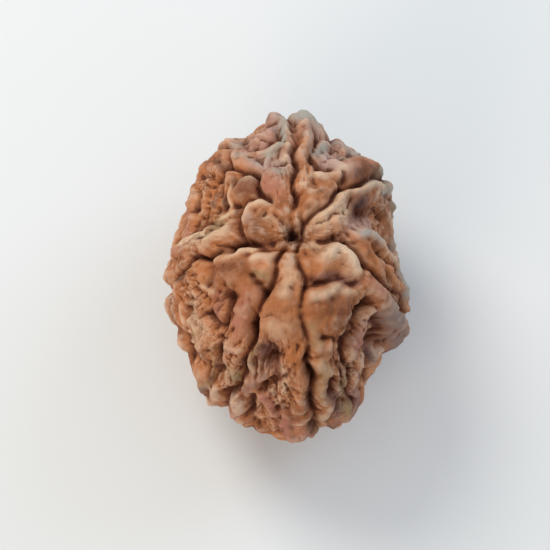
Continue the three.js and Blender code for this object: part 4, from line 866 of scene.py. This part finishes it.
@dataclass(frozen=True)
class Relief:
    """How far the stone's surface stands over its core: lines, bosses, hollows and the poles."""

    core: Core
    groove_half: float = 0.24
    groove_depth: float = 0.95
    fade: float = 0.75
    swell_share: float = 0.35
    swell_pitch: float = 0.9
    swell_bend: float = 2
    valley_half: float = 1.0
    valley_depth: float = 0.12
    boss_blend: float = 4.2
    boss_roundness: float = 1.2
    boss_girth: float = 1.8
    boss_prominence: float = 0.85
    waver_reach: float = 0.18
    waver_pitch: float = 1.9
    waver_bend: float = 1.3
    way_steps: int = 9
    way_waves: float = 1.15
    way_wanders: tuple[float, ...] = (0.05, 0.07, 0.09)
    mouth_half: float = 0.5
    mouth_depth: float = 1.0
    dimple_reach: float = 2.2
    dimple_depth: float = 0.2
    scar_half: float = 2.3
    scar_height: float = 1.5
    line_end_angle: float = math.radians(164)

    def whole_lines(self) -> list[Array]:
        """Returns each line's places from the mouth to the stalk's scar, the hidden way included."""
        lines = []
        for k, (_, path) in enumerate(LINES):
            seen = np.array([self.core.place_in_view(*point) for point in path])
            longitude = math.atan2(seen[-1][1], seen[-1][0])
            start = float(angle_down(seen[-1:])[0])
            wander = self.way_wanders[k % len(self.way_wanders)]
            hidden = []
            for step in range(self.way_steps):
                t = (step + 1) / self.way_steps
                turn = wander * math.sin(2 * math.pi * self.way_waves * t) * (1 - t / 2)
                down = start + (self.line_end_angle - start) * t
                hidden.append(self.core.at_angles(down, longitude + turn))
            lines.append(np.vstack([seen, hidden]))
        return lines

    def wavered(self, places: Array) -> Array:
        """Returns the places after a small smooth drift, which keeps creases from being straight."""
        along = places[:, [1, 2, 0]]
        across = places[:, [2, 0, 1]]
        drift = np.sin(self.waver_pitch * along + self.waver_bend * np.sin(across))
        return places + self.waver_reach * drift

    def rise(self, places: Array) -> Array:
        """Works out the relief.

        Args:
            places: places on the core, one row each.

        Returns:
            The surface's height over the core at each place.
        """
        lines = self.whole_lines()
        bosses = [Stroke(half, height, self.core.route(path)) for half, height, path in BOSSES]
        bosses += HiddenSide(self.core).bosses(lines)
        drifted = self.wavered(places)
        total = np.zeros(len(places))
        for boss in bosses:
            near = boss.near(drifted, BELL_REACH)
            share = distance_to(boss.route, drifted[near]) / (boss.half * self.boss_girth)
            dome = np.clip(1 - share**2, 0, None) ** self.boss_roundness
            total[near] += np.exp(self.boss_blend * self.boss_prominence * boss.amount * dome) - 1
        rise = np.log1p(total) / self.boss_blend
        for half, depth, path in HOLLOWS:
            hollow = Stroke(half, depth, self.core.route(path))
            near = hollow.near(drifted, BELL_REACH)
            rise[near] -= depth * bell(distance_to(hollow.route, drifted[near]), half)
        return rise - self.furrows(lines, places, drifted) - self.poles(places)

    def furrows(self, lines: list[Array], places: Array, drifted: Array) -> Array:
        """Works out how deep the seven lines cut.

        Args:
            lines: the lines' places.
            places: places on the core.
            drifted: the same after their drift.

        Returns:
            The depth at each place.
        """
        x, y, z = places.T
        bent = self.swell_bend * np.sin(self.swell_pitch * y)
        swell = (1 + np.sin(self.swell_pitch * (x + z) + bent)) / 2
        evenness = 1 - self.swell_share * swell
        from_axis = np.hypot(x, y)
        deepest = np.zeros(len(places))
        for (faint, _), line in zip(LINES, lines):
            distance = distance_to(line, drifted)
            share = evenness * (1 - self.fade * bell(from_axis, faint))
            cut = share * self.groove_depth * bell(distance, self.groove_half)
            deepest = np.maximum(deepest, cut + self.valley_depth * bell(distance, self.valley_half))
        return deepest

    def poles(self, places: Array) -> Array:
        """Returns how deep the mouth sinks at each place, and below 0 where the scar stands out."""
        from_axis = np.hypot(places[:, 0], places[:, 1])
        mouth = self.mouth_depth * bell(from_axis, self.mouth_half)
        mouth += self.dimple_depth * bell(from_axis, self.dimple_reach)
        return np.where(places[:, 2] < 0, -self.scar_height * bell(from_axis, self.scar_half), mouth)


@dataclass(frozen=True)
class Wrinkles:
    """The finer relief that dried pulp leaves: thin creases, fibres along the stone, and grain.

    A start is added to the places of a pattern, so that no two patterns run alike.
    """

    core: Core
    mean_radius: float = 9.5
    off_axis: float = 1e-6  # keeps a place on the axis from a division by 0
    crease_pitch: float = 2.3
    crease_depth: float = 0.36
    crease_start: float = 11.3
    creased_share: tuple[float, float] = (58, 98)  # percent of the ground where a crease begins, ends
    lowland: float = 1.1
    lowland_fall: float = 0.8
    split_pitch: float = 0.75
    split_depth: float = 0.3
    split_start: float = 5.7
    split_stretch: float = 3.0
    split_drift: float = 0.55
    unsplit_reach: float = 4.0
    least_split: float = 0.2
    pit_pitch: float = 0.45
    pit_depth: float = 0.24
    pit_edge: float = 0.3
    lump_pitch: float = 1.2
    lump_depth: float = 0.3
    small_lump_share: float = 0.5
    small_lump_scale: float = 2.3
    grain_pitch: float = 0.3
    grain_depth: float = 0.06
    least_grain: float = 0.4
    drift_pitch: float = 2.2
    drift_reach: float = 0.8
    drift_starts: tuple[float, ...] = (17.3, 41.9, 73.1)
    rough_pitch: float = 3.4
    rough_start: float = 3.1
    mean_rough: float = 0.12
    rough_swing: float = 0.7

    def flow(self, places: Array) -> Array:
        """Returns coordinates in which a step along the stone counts less than a step round it."""
        x, y, z = places.T
        around = np.hypot(x, y) + self.off_axis
        down = np.arctan2(around, z)
        girth = self.mean_radius
        return np.stack([girth * x / around, girth * y / around, girth * down / self.split_stretch], axis=1)

    def drifted(self, places: Array) -> Array:
        """Returns the places after an uneven drift, so that no pattern runs straight."""
        scaled = places / self.drift_pitch
        drift = [self.waved(scaled + start) for start in self.drift_starts]
        return places + self.drift_reach * np.stack(drift, axis=1)

    def creased(self, places: Array, octaves: int) -> Array:
        """Returns a net of thin creases: 0 between them and 1 along their floors."""
        fade, spacing, offset, gain = 1.0, 2.1, 1.0, 2.0
        ridged = noise.ridged_multi_fractal
        values = np.array([ridged(Vector(p), fade, spacing, octaves, offset, gain) for p in places])
        low, high = np.percentile(values, self.creased_share)
        share = np.clip((values - low) / (high - low), 0, 1)
        return share * share * (3 - 2 * share)

    @staticmethod
    def waved(places: Array) -> Array:
        """Returns a smooth noise, mostly from -0.5 to 0.5."""
        return np.array([noise.noise(Vector(p)) for p in places])

    def rough(self, places: Array) -> Array:
        """Returns how rough each place is, from 0 on rubbed tops to 1 where pulp still clings."""
        pattern = self.waved(places / self.rough_pitch + self.rough_start)
        patches = self.mean_rough + self.rough_swing * pattern
        for amount, half, path in ROUGH_PATCHES:
            route = np.array([self.core.place_in_view(*point) for point in path])
            patches += amount * bell(distance_to(route, places), half)
        return np.clip(patches, 0, 1)

    def rise(self, places: Array, relief: Array) -> Array:
        """Works out the finer relief.

        Args:
            places: places on the core, one row each.
            relief: the height of the main forms there.

        Returns:
            A height to add to the main forms.
        """
        drifted = self.drifted(places)
        eddies = places + self.split_drift * (drifted - places)
        rough = self.rough(places)
        from_axis = np.hypot(places[:, 0], places[:, 1])
        split_share = np.clip(from_axis / self.unsplit_reach, self.least_split, 1)
        crease_share = np.clip(self.lowland - relief / self.lowland_fall, 0, 1)
        creases = self.creased(drifted / self.crease_pitch + self.crease_start, 2)
        splits = self.creased(self.flow(eddies) / self.split_pitch + self.split_start, 3)
        pitted = self.waved(self.flow(eddies) / self.pit_pitch)
        pits = np.clip(pitted / self.pit_edge - self.pit_edge, 0, 1)
        small_lumps = self.waved(eddies / self.lump_pitch * self.small_lump_scale)
        lumps = self.waved(drifted / self.lump_pitch) + self.small_lump_share * small_lumps
        return (
            self.lump_depth * lumps
            - self.crease_depth * crease_share * creases
            - self.split_depth * split_share * rough * splits
            - self.pit_depth * rough * pits
            + self.grain_depth * (self.least_grain + rough) * self.waved(places / self.grain_pitch)
        )


class MeshGraph:
    """The neighbours of each vertex of a mesh, for evening out a value over the surface."""

    def __init__(self, mesh: bpy.types.Mesh) -> None:
        """Reads the mesh's edges.

        Args:
            mesh: the mesh.
        """
        edges = np.empty(len(mesh.edges) * 2, dtype=np.int64)
        mesh.edges.foreach_get("vertices", edges)
        self.first, self.second = edges.reshape(-1, 2).T
        self.count = len(mesh.vertices)
        self.degree = np.bincount(edges, minlength=self.count)

    def evened(self, values: Array, rounds: int) -> Array:
        """Returns the values after each has been drawn to its neighbours' mean, round by round."""
        for _ in range(rounds):
            sums = np.bincount(self.first, values[self.second], self.count)
            sums += np.bincount(self.second, values[self.first], self.count)
            values = 0.5 * (values + sums / self.degree)
        return values


@dataclass(frozen=True)
class Layer:
    """A shade laid where a value passes from its start to full, and its share where it is full."""

    value: Socket
    start: float
    full: float
    shade: str
    share: float


@dataclass(frozen=True)
class WoodyStone:
    """Dry wood of a fruit stone, rubbed matt by hand: tan crests over dark red-brown creases.

    The eye sees terracotta and tan bosses with a faint waxy sheen on their tops, rose and purple
    stains in the saddles, and near-black creases. The paler crests are partly worn wood and partly
    painted highlight and reflection; the near-black creases and the darker low ground are painted
    shade. A span is a pair of values between which a change takes place.
    """

    slot: str = "woody_stone"
    wood: str = "#ae6d42"
    wood_dark: str = "#7f4b29"
    tan: str = "#c18e64"
    crest_highlight_and_pale_grain: str = "#d7b194"
    crease_shade: str = "#481c07"
    fold_shade_and_dark_grain: str = "#6f381b"
    haze_and_reflection: str = "#cbb9a6"
    hollow_purple_and_shade: str = "#54362e"
    # Brown and dark also paint shade on some faces and along hollows; pale, grey and mauve also paint light
    # on some.
    tones: tuple[tuple[Tone, str], ...] = (
        (Tone.ORANGE, "#b06b3a"),
        (Tone.ROSE, "#a76d5b"),
        (Tone.BROWN, "#794425"),
        (Tone.MAUVE, "#ba9c90"),
        (Tone.PURPLE, "#7d5a55"),
        (Tone.GREY, "#a09b90"),
        (Tone.OLIVE, "#8c7656"),
        (Tone.PALE, "#d3b596"),
        (Tone.DARK, "#47261a"),
    )
    blotch_mm: float = 3.2
    haze_and_reflection_mm: float = 1.7
    mottle_mm: float = 0.9
    fleck_mm: float = 0.34
    fibre_mm: float = 0.38
    noise_roughness: float = 0.6
    mottle_in_ground: float = 0.5
    wood_span: tuple[float, float] = (0.58, 0.82)
    tan_span: tuple[float, float] = (0.78, 0.98)
    tan_share: float = 0.7
    stain_span: tuple[float, float] = (0.36, 0.56)
    stain_shares: tuple[float, float] = (0.55, 1.1)
    rubbed_contrast: float = 0.6
    haze_and_reflection_unevenness: float = 0.9
    hollow_blotch_unevenness: float = -0.9
    refraction: float = 1.5
    sheen: float = 0.3
    rubbed_span: tuple[float, float] = (0.3, 0.8)
    fold_roughness: float = 0.85
    rubbed_roughness: float = 0.62
    bump_strength: float = 0.8
    bump_mm: float = 0.16

    def build(self) -> bpy.types.Material:
        """Makes the node material.

        Returns:
            The material, ready for the stone.
        """
        material = bpy.data.materials.new("fruit_stone_wood_dry_rubbed")
        material.use_nodes = True
        tree = material.node_tree
        shader = tree.nodes["Principled BSDF"]
        shader.inputs["IOR"].default_value = self.refraction
        shader.inputs["Specular IOR Level"].default_value = self.sheen
        coordinates = add_node(tree, "ShaderNodeTexCoord").outputs["Object"]
        millimetres = add_node(
            tree, "ShaderNodeVectorMath", {"operation": "SCALE"}, {0: coordinates, "Scale": 1 / MM}
        ).outputs[0]
        mottle = self.noise(tree, millimetres, self.mottle_mm, detail=4)
        blotch = self.noise(tree, millimetres, self.blotch_mm, detail=3)
        haze_and_reflection = self.noise(tree, millimetres, self.haze_and_reflection_mm, detail=4)
        rough = stored(tree, "rough")
        grain = stored(tree, "grain", "Vector")
        flecks = self.broken(tree, self.noise(tree, millimetres, self.fleck_mm, detail=3), rough)
        fibres = self.broken(tree, self.noise(tree, grain, self.fibre_mm, detail=3), rough)
        broad = stored(tree, "broad_lift")
        fine = stored(tree, "fine_lift")
        haze_and_reflection_on_tops = worked_out(tree, "MULTIPLY_ADD", haze_and_reflection, self.haze_and_reflection_unevenness, broad)
        hollow_blotches_and_shade = worked_out(tree, "MULTIPLY_ADD", blotch, self.hollow_blotch_unevenness, broad)
        # Painted highlight: the crest colour lightens raised tops and small bumps by their lift, partly
        # worn wood and partly painted highlight. The flecks and fibres after them are the pale and dark
        # grain.
        rubbed = (
            Layer(broad, 0.55, 0.95, self.crest_highlight_and_pale_grain, 0.34),
            # Pale grey haze on the highest tops: partly pale worn wood, partly a painted reflection of the
            # cool sky light.
            Layer(haze_and_reflection_on_tops, 1.05, 1.3, self.haze_and_reflection, 0.4),
            Layer(fine, 0.58, 0.95, self.crest_highlight_and_pale_grain, 0.3),
            Layer(flecks, 0.55, 0.75, self.crest_highlight_and_pale_grain, 0.6),
            Layer(fibres, 0.55, 0.75, self.crest_highlight_and_pale_grain, 0.5),
            Layer(flecks, 0.45, 0.25, self.fold_shade_and_dark_grain, 0.72),
            Layer(fibres, 0.45, 0.25, self.fold_shade_and_dark_grain, 0.6),
        )
        # Painted shade: the fold and crease colours darken the low ground and the hollows by how far they
        # sink below their neighbourhood.
        hollow_shade_and_purple = (
            # Dark purple-brown blotches over the low ground only: partly a purple tone of the wood, partly
            # painted shade in the hollows.
            Layer(hollow_blotches_and_shade, 0.0, -0.25, self.hollow_purple_and_shade, 0.5),
            Layer(broad, 0.46, 0.16, self.fold_shade_and_dark_grain, 0.42),
            Layer(fine, 0.42, 0.12, self.fold_shade_and_dark_grain, 0.5),
            Layer(broad, 0.22, 0.0, self.crease_shade, 0.75),
            Layer(fine, 0.22, 0.0, self.crease_shade, 0.6),
        )
        colour = layered(tree, self.ground(tree, blotch, mottle), rubbed)
        for tone, shade in self.tones:
            colour = self.with_tone_patches(tree, colour, tone, shade, mottle)
        tree.links.new(layered(tree, colour, hollow_shade_and_purple), shader.inputs["Base Color"])
        self.finish(tree, shader, flecks, fibres, broad)
        return material

    def noise(self, tree: Tree, place: Socket, size: float, detail: float) -> Socket:
        """Adds a noise whose patches are about a size in millimetres, and returns its value."""
        inputs = {
            "Vector": place,
            "Scale": 1 / size,
            "Detail": detail,
            "Roughness": self.noise_roughness,
        }
        return add_node(tree, "ShaderNodeTexNoise", {}, inputs).outputs["Fac"]

    def ground(self, tree: Tree, blotch: Socket, mottle: Socket) -> Socket:
        """Mixes the wood's shades in blotches, and returns the colour."""
        both = worked_out(tree, "MULTIPLY_ADD", mottle, self.mottle_in_ground, blotch)
        share = ranged(tree, both, self.wood_span, (0.0, 1.0))
        colour = mixed(tree, share, linear(self.wood_dark), linear(self.wood))
        return layered(tree, colour, (Layer(both, *self.tan_span, self.tan, self.tan_share),))

    def with_tone_patches(self, tree: Tree, colour: Socket, tone: Tone, shade: str, mottle: Socket) -> Socket:
        """Lays one tone's stains and painted light and shade over the colour, broken up by the mottle, and
        returns the colour.
        """
        amount = stored(tree, f"stain_{tone.value}")
        broken = ranged(tree, mottle, self.stain_span, self.stain_shares)
        share = add_node(
            tree, "ShaderNodeMath", {"operation": "MULTIPLY", "use_clamp": True}, {0: amount, 1: broken}
        ).outputs[0]
        return mixed(tree, share, colour, linear(shade))

    def broken(self, tree: Tree, pattern: Socket, rough: Socket) -> Socket:
        """Strengthens a pattern where the stone is rough and weakens it on rubbed tops."""
        contrast = worked_out(tree, "ADD", rough, self.rubbed_contrast)
        centred = worked_out(tree, "SUBTRACT", pattern, MIDDLE)
        return worked_out(tree, "MULTIPLY_ADD", centred, contrast, MIDDLE)

    def finish(
        self, tree: Tree, shader: bpy.types.Node, flecks: Socket, fibres: Socket, broad: Socket
    ) -> None:
        """Gives the wood its sheen and the relief that is too fine for the mesh.

        Args:
            tree: the material's node tree.
            shader: its surface shader.
            flecks: the value of the grain that has no direction.
            fibres: the value of the grain along the stone.
            broad: how far a place stands over the ground round it.
        """
        rough = ranged(tree, broad, self.rubbed_span, (self.fold_roughness, self.rubbed_roughness))
        tree.links.new(rough, shader.inputs["Roughness"])
        inputs = {
            "Strength": self.bump_strength,
            "Distance": self.bump_mm * MM,
            "Height": worked_out(tree, "ADD", fibres, flecks),
        }
        relief = add_node(tree, "ShaderNodeBump", {}, inputs).outputs[0]
        tree.links.new(relief, shader.inputs["Normal"])


def add_node(
    tree: Tree,
    kind: str,
    settings: dict[str, object] | None = None,
    inputs: dict[str | int, object] | None = None,
) -> bpy.types.Node:
    """Adds a node to a tree.

    Args:
        tree: the tree.
        kind: the node's type name.
        settings: values of the node's own settings.
        inputs: for each of its sockets, a value, or an output to link.

    Returns:
        The node.
    """
    node = tree.nodes.new(kind)
    for name, value in (settings or {}).items():
        setattr(node, name, value)
    for socket, value in (inputs or {}).items():
        if isinstance(value, Socket):
            tree.links.new(value, node.inputs[socket])
        else:
            node.inputs[socket].default_value = value
    return node


def stored(tree: Tree, name: str, output: str = "Fac") -> Socket:
    """Returns what the mesh stores under a name."""
    return add_node(tree, "ShaderNodeAttribute", {"attribute_name": name}).outputs[output]


def worked_out(tree: Tree, operation: str, *values: Socket | float) -> Socket:
    """Adds a sum over some values, and returns its result."""
    inputs = dict(enumerate(values))
    return add_node(tree, "ShaderNodeMath", {"operation": operation}, inputs).outputs[0]


def ranged(
    tree: Tree,
    value: Socket,
    span: tuple[float, float],
    results: tuple[float, float],
    kind: str = "LINEAR",
) -> Socket:
    """Turns a value across a span into one between two results, held at them outside the span.

    Args:
        tree: the material's node tree.
        value: the value.
        span: where the result starts to change and where it stops.
        results: the result at either end.
        kind: how it changes between them.

    Returns:
        The result.
    """
    inputs = {
        "Value": value,
        "From Min": span[0],
        "From Max": span[1],
        "To Min": results[0],
        "To Max": results[1],
    }
    return add_node(tree, "ShaderNodeMapRange", {"interpolation_type": kind}, inputs).outputs[0]


def mixed(tree: Tree, share: Socket, under: object, over: object) -> Socket:
    """Mixes two colours by a share from 0, all the first, to 1, and returns the result."""
    # A mix node takes colours at its sockets 6 and 7, and gives one at its output 2.
    node = add_node(tree, "ShaderNodeMix", {"data_type": "RGBA"}, {0: share, 6: under, 7: over})
    return node.outputs[2]


def layered(tree: Tree, colour: Socket, layers: tuple[Layer, ...]) -> Socket:
    """Lays layers over a colour, one after another, and returns the colour."""
    for layer in layers:
        span = (layer.start, layer.full)
        share = ranged(tree, layer.value, span, (0.0, layer.share), "SMOOTHSTEP")
        colour = mixed(tree, share, colour, linear(layer.shade))
    return colour


@dataclass(frozen=True)
class RudrakshaStone:
    """The stone: a subdivided cube drawn over the core and raised by its relief."""

    core: Core
    relief: Relief
    wrinkles: Wrinkles
    wood: WoodyStone
    coarse_cuts: int = 7
    fine_cuts: int = 15
    near_rounds: int = 14
    wide_rounds: int = 260
    fine_span: float = 0.22
    broad_span: float = 1.5
    scar_cut: float = 0.5
    node: str = "rudraksha_stone"

    def build(self) -> bpy.types.Object:
        """Makes the stone, in place of its CAD node.

        Returns:
            The finished object.
        """
        stone = self.cube()
        mesh = stone.data
        graph = MeshGraph(mesh)
        corners = np.empty(len(mesh.vertices) * 3)
        mesh.vertices.foreach_get("co", corners)
        places = self.spread(corners.reshape(-1, 3))
        main = self.relief.rise(places)
        heights = main + self.wrinkles.rise(places, main)
        surface = self.stood(places + self.core.outward(places) * heights[:, None])
        mesh.vertices.foreach_set("co", (surface * MM).ravel())
        mesh.update()
        self.mark(mesh, graph, places, heights)
        mesh.materials.append(self.wood.build())
        bpy.ops.object.shade_smooth()
        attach(stone, "root")
        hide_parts(self.node)
        LOG.info("stone: %d vertices, %s mm", len(surface), np.round(np.ptp(surface, axis=0), 2))
        return stone

    def cube(self) -> bpy.types.Object:
        """Makes a finely subdivided cube with its object at the origin, and returns it."""
        bpy.ops.object.select_all(action="DESELECT")
        bpy.ops.mesh.primitive_cube_add(size=2, location=(0, 0, 0))
        bpy.ops.object.mode_set(mode="EDIT")
        bpy.ops.mesh.select_all(action="SELECT")
        bpy.ops.mesh.subdivide(number_cuts=self.coarse_cuts)
        bpy.ops.mesh.subdivide(number_cuts=self.fine_cuts)
        bpy.ops.object.mode_set(mode="OBJECT")
        cube = bpy.context.object
        cube.name = cube.data.name = "rudraksha_stone_surface"
        return cube

    def spread(self, corners: Array) -> Array:
        """Draws the cube's vertices over the core, about evenly.

        Args:
            corners: the cube's vertices, from -1 to 1 each way.

        Returns:
            Their places on the core.
        """
        ways = np.tan(corners * math.pi / 4)
        ways /= np.linalg.norm(ways, axis=1)[:, None]
        stretch = np.array([self.core.plan[0], self.core.plan[4], self.core.half_height])
        return self.core.place(ways * stretch)

    def stood(self, surface: Array) -> Array:
        """Cuts the stalk's scar level and stands the stone where its CAD solid stands.

        Args:
            surface: the stone's vertices about the core's centre.

        Returns:
            The vertices with the flat spot at height 0 and the solid's middle in plan.
        """
        low, high = surface.min(axis=0), surface.max(axis=0)
        level = low[2] + self.scar_cut
        surface[:, 2] = np.maximum(surface[:, 2], level) - level
        solid_low, solid_high = (np.array(corner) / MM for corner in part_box(self.node))
        surface[:, :2] += ((solid_low + solid_high - low - high) / 2)[:2]
        return surface

    def mark(self, mesh: bpy.types.Mesh, graph: MeshGraph, places: Array, heights: Array) -> None:
        """Stores on the mesh what its material reads.

        Args:
            mesh: the stone's mesh.
            graph: its neighbours.
            places: the vertices' places on the core.
            heights: their heights over it.
        """
        near = graph.evened(heights, self.near_rounds)
        wide = graph.evened(heights, self.wide_rounds)
        # From these lifts the material paints highlight on raised tops and shade in the hollows.
        marks = {
            "fine_lift": MIDDLE + (heights - near) / self.fine_span,
            "broad_lift": MIDDLE + (heights - wide) / self.broad_span,
            "rough": self.wrinkles.rough(places),
        }
        drifted = self.relief.wavered(places)
        # Stains and painted light and shade alike are stored under the stain_ names.
        for tone in Tone:
            marks[f"stain_{tone.value}"] = self.stains(tone, drifted)
        for name, values in marks.items():
            layer = mesh.attributes.new(name, "FLOAT", "POINT")
            layer.data.foreach_set("value", np.clip(values, 0, 1).astype(np.float32))
        grain = mesh.attributes.new("grain", "FLOAT_VECTOR", "POINT")
        grain.data.foreach_set("vector", self.wrinkles.flow(places).ravel().astype(np.float32))

    def stains(self, tone: Tone, places: Array) -> Array:
        """Returns how strongly a tone's stains and painted light and shade lie on each place, from 0 to 1.
        """
        amount = np.zeros(len(places))
        for named, strength, half, path in STAINS_AND_PAINTED_LIGHT:
            if named is tone:
                stain = Stroke(half, strength, self.core.route(path))
                near = stain.near(places, BELL_REACH)
                laid = strength * bell(distance_to(stain.route, places[near]), half)
                amount[near] = np.maximum(amount[near], laid)
        return amount


@dataclass(frozen=True)
class Lamp:
    """A round soft light: its place from the stone's middle and its size, and its power in watts."""

    name: str
    place: tuple[float, float, float]
    size: float
    power: float
    shade: str


@dataclass(frozen=True)
class Studio:
    """The pale floor, the soft lights and the camera, which aren't part of the stone."""

    distance: float = 450
    frame_width: float = 44.35
    sensor: float = 36
    aim_left: float = 0.93
    aim_up: float = 0.1
    floor_size: float = 4000
    floor_shade: str = "#d8dcde"
    floor_roughness: float = 0.8
    sky_shade: str = "#e2e6e8"
    sky_strength: float = 0.76
    lamps: tuple[Lamp, ...] = (
        Lamp("window_key", (-130, 140, 230), 150, 0.5, "#fff8ee"),
        Lamp("cool_fill", (330, 210, 260), 300, 0.6, "#cfe2ff"),
        Lamp("warm_fill", (-200, -330, 200), 260, 0.7, "#ffe6cf"),
    )

    def build(self, core: Core) -> None:
        """Makes them all.

        Args:
            core: the core, for the camera's elevation.
        """
        self.floor()
        low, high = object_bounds()
        middle = (low + high) / 2
        self.camera(core, middle)
        self.lights(middle)
        scene = bpy.context.scene
        scene.view_settings.view_transform = "Standard"
        world = bpy.data.worlds.new("soft_room")
        scene.world = world
        world.use_nodes = True
        sky = world.node_tree.nodes["Background"]
        sky.inputs["Color"].default_value = linear(self.sky_shade)
        sky.inputs["Strength"].default_value = self.sky_strength

    def floor(self) -> None:
        """Makes the plain pale floor."""
        bpy.ops.object.select_all(action="DESELECT")
        bpy.ops.mesh.primitive_plane_add(size=self.floor_size * MM, location=(0, 0, 0))
        floor = bpy.context.object
        floor.name = floor.data.name = "floor"
        material = bpy.data.materials.new("matt_white_card")
        material.use_nodes = True
        shader = material.node_tree.nodes["Principled BSDF"]
        shader.inputs["Base Color"].default_value = linear(self.floor_shade)
        shader.inputs["Roughness"].default_value = self.floor_roughness
        floor.data.materials.append(material)
        floor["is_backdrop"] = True

    def camera(self, core: Core, middle: Vector) -> None:
        """Places the camera at the photographed angle, with a long lens.

        Args:
            core: the core, for the elevation.
            middle: the middle of the stone.
        """
        along, upward = (Vector(way) for way in core.view_axes())
        data = bpy.data.cameras.new("camera")
        camera = bpy.data.objects.new("camera", data)
        bpy.context.scene.collection.objects.link(camera)
        data.sensor_width = self.sensor
        data.lens = self.sensor * self.distance / self.frame_width
        data.clip_start, data.clip_end = 0.01, 10
        aim = middle + (upward * self.aim_up - Vector((self.aim_left, 0, 0))) * MM
        right = along.cross(upward)
        turn = Matrix((right, upward, -along)).transposed()
        camera.matrix_world = Matrix.Translation(aim - along * self.distance * MM) @ turn.to_4x4()
        bpy.context.scene.camera = camera

    def lights(self, middle: Vector) -> None:
        """Hangs the soft lights round the stone.

        Args:
            middle: the middle of the stone.
        """
        for lamp in self.lamps:
            data = bpy.data.lights.new(lamp.name, "AREA")
            data.shape = "DISK"
            data.size = lamp.size * MM
            data.energy = lamp.power
            data.color = linear(lamp.shade)[:3]
            light = bpy.data.objects.new(lamp.name, data)
            bpy.context.scene.collection.objects.link(light)
            light.location = middle + Vector(lamp.place) * MM
            light.rotation_mode = "QUATERNION"
            light.rotation_quaternion = (middle - light.location).to_track_quat("-Z", "Y")


def main() -> None:
    """Builds the stone and the studio."""
    logging.basicConfig(level=logging.INFO, format="%(name)s: %(message)s")
    core = Core()
    RudrakshaStone(core, Relief(core), Wrinkles(core), WoodyStone()).build()
    Studio().build(core)
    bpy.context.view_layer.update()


if __name__ == "__main__":
    main()
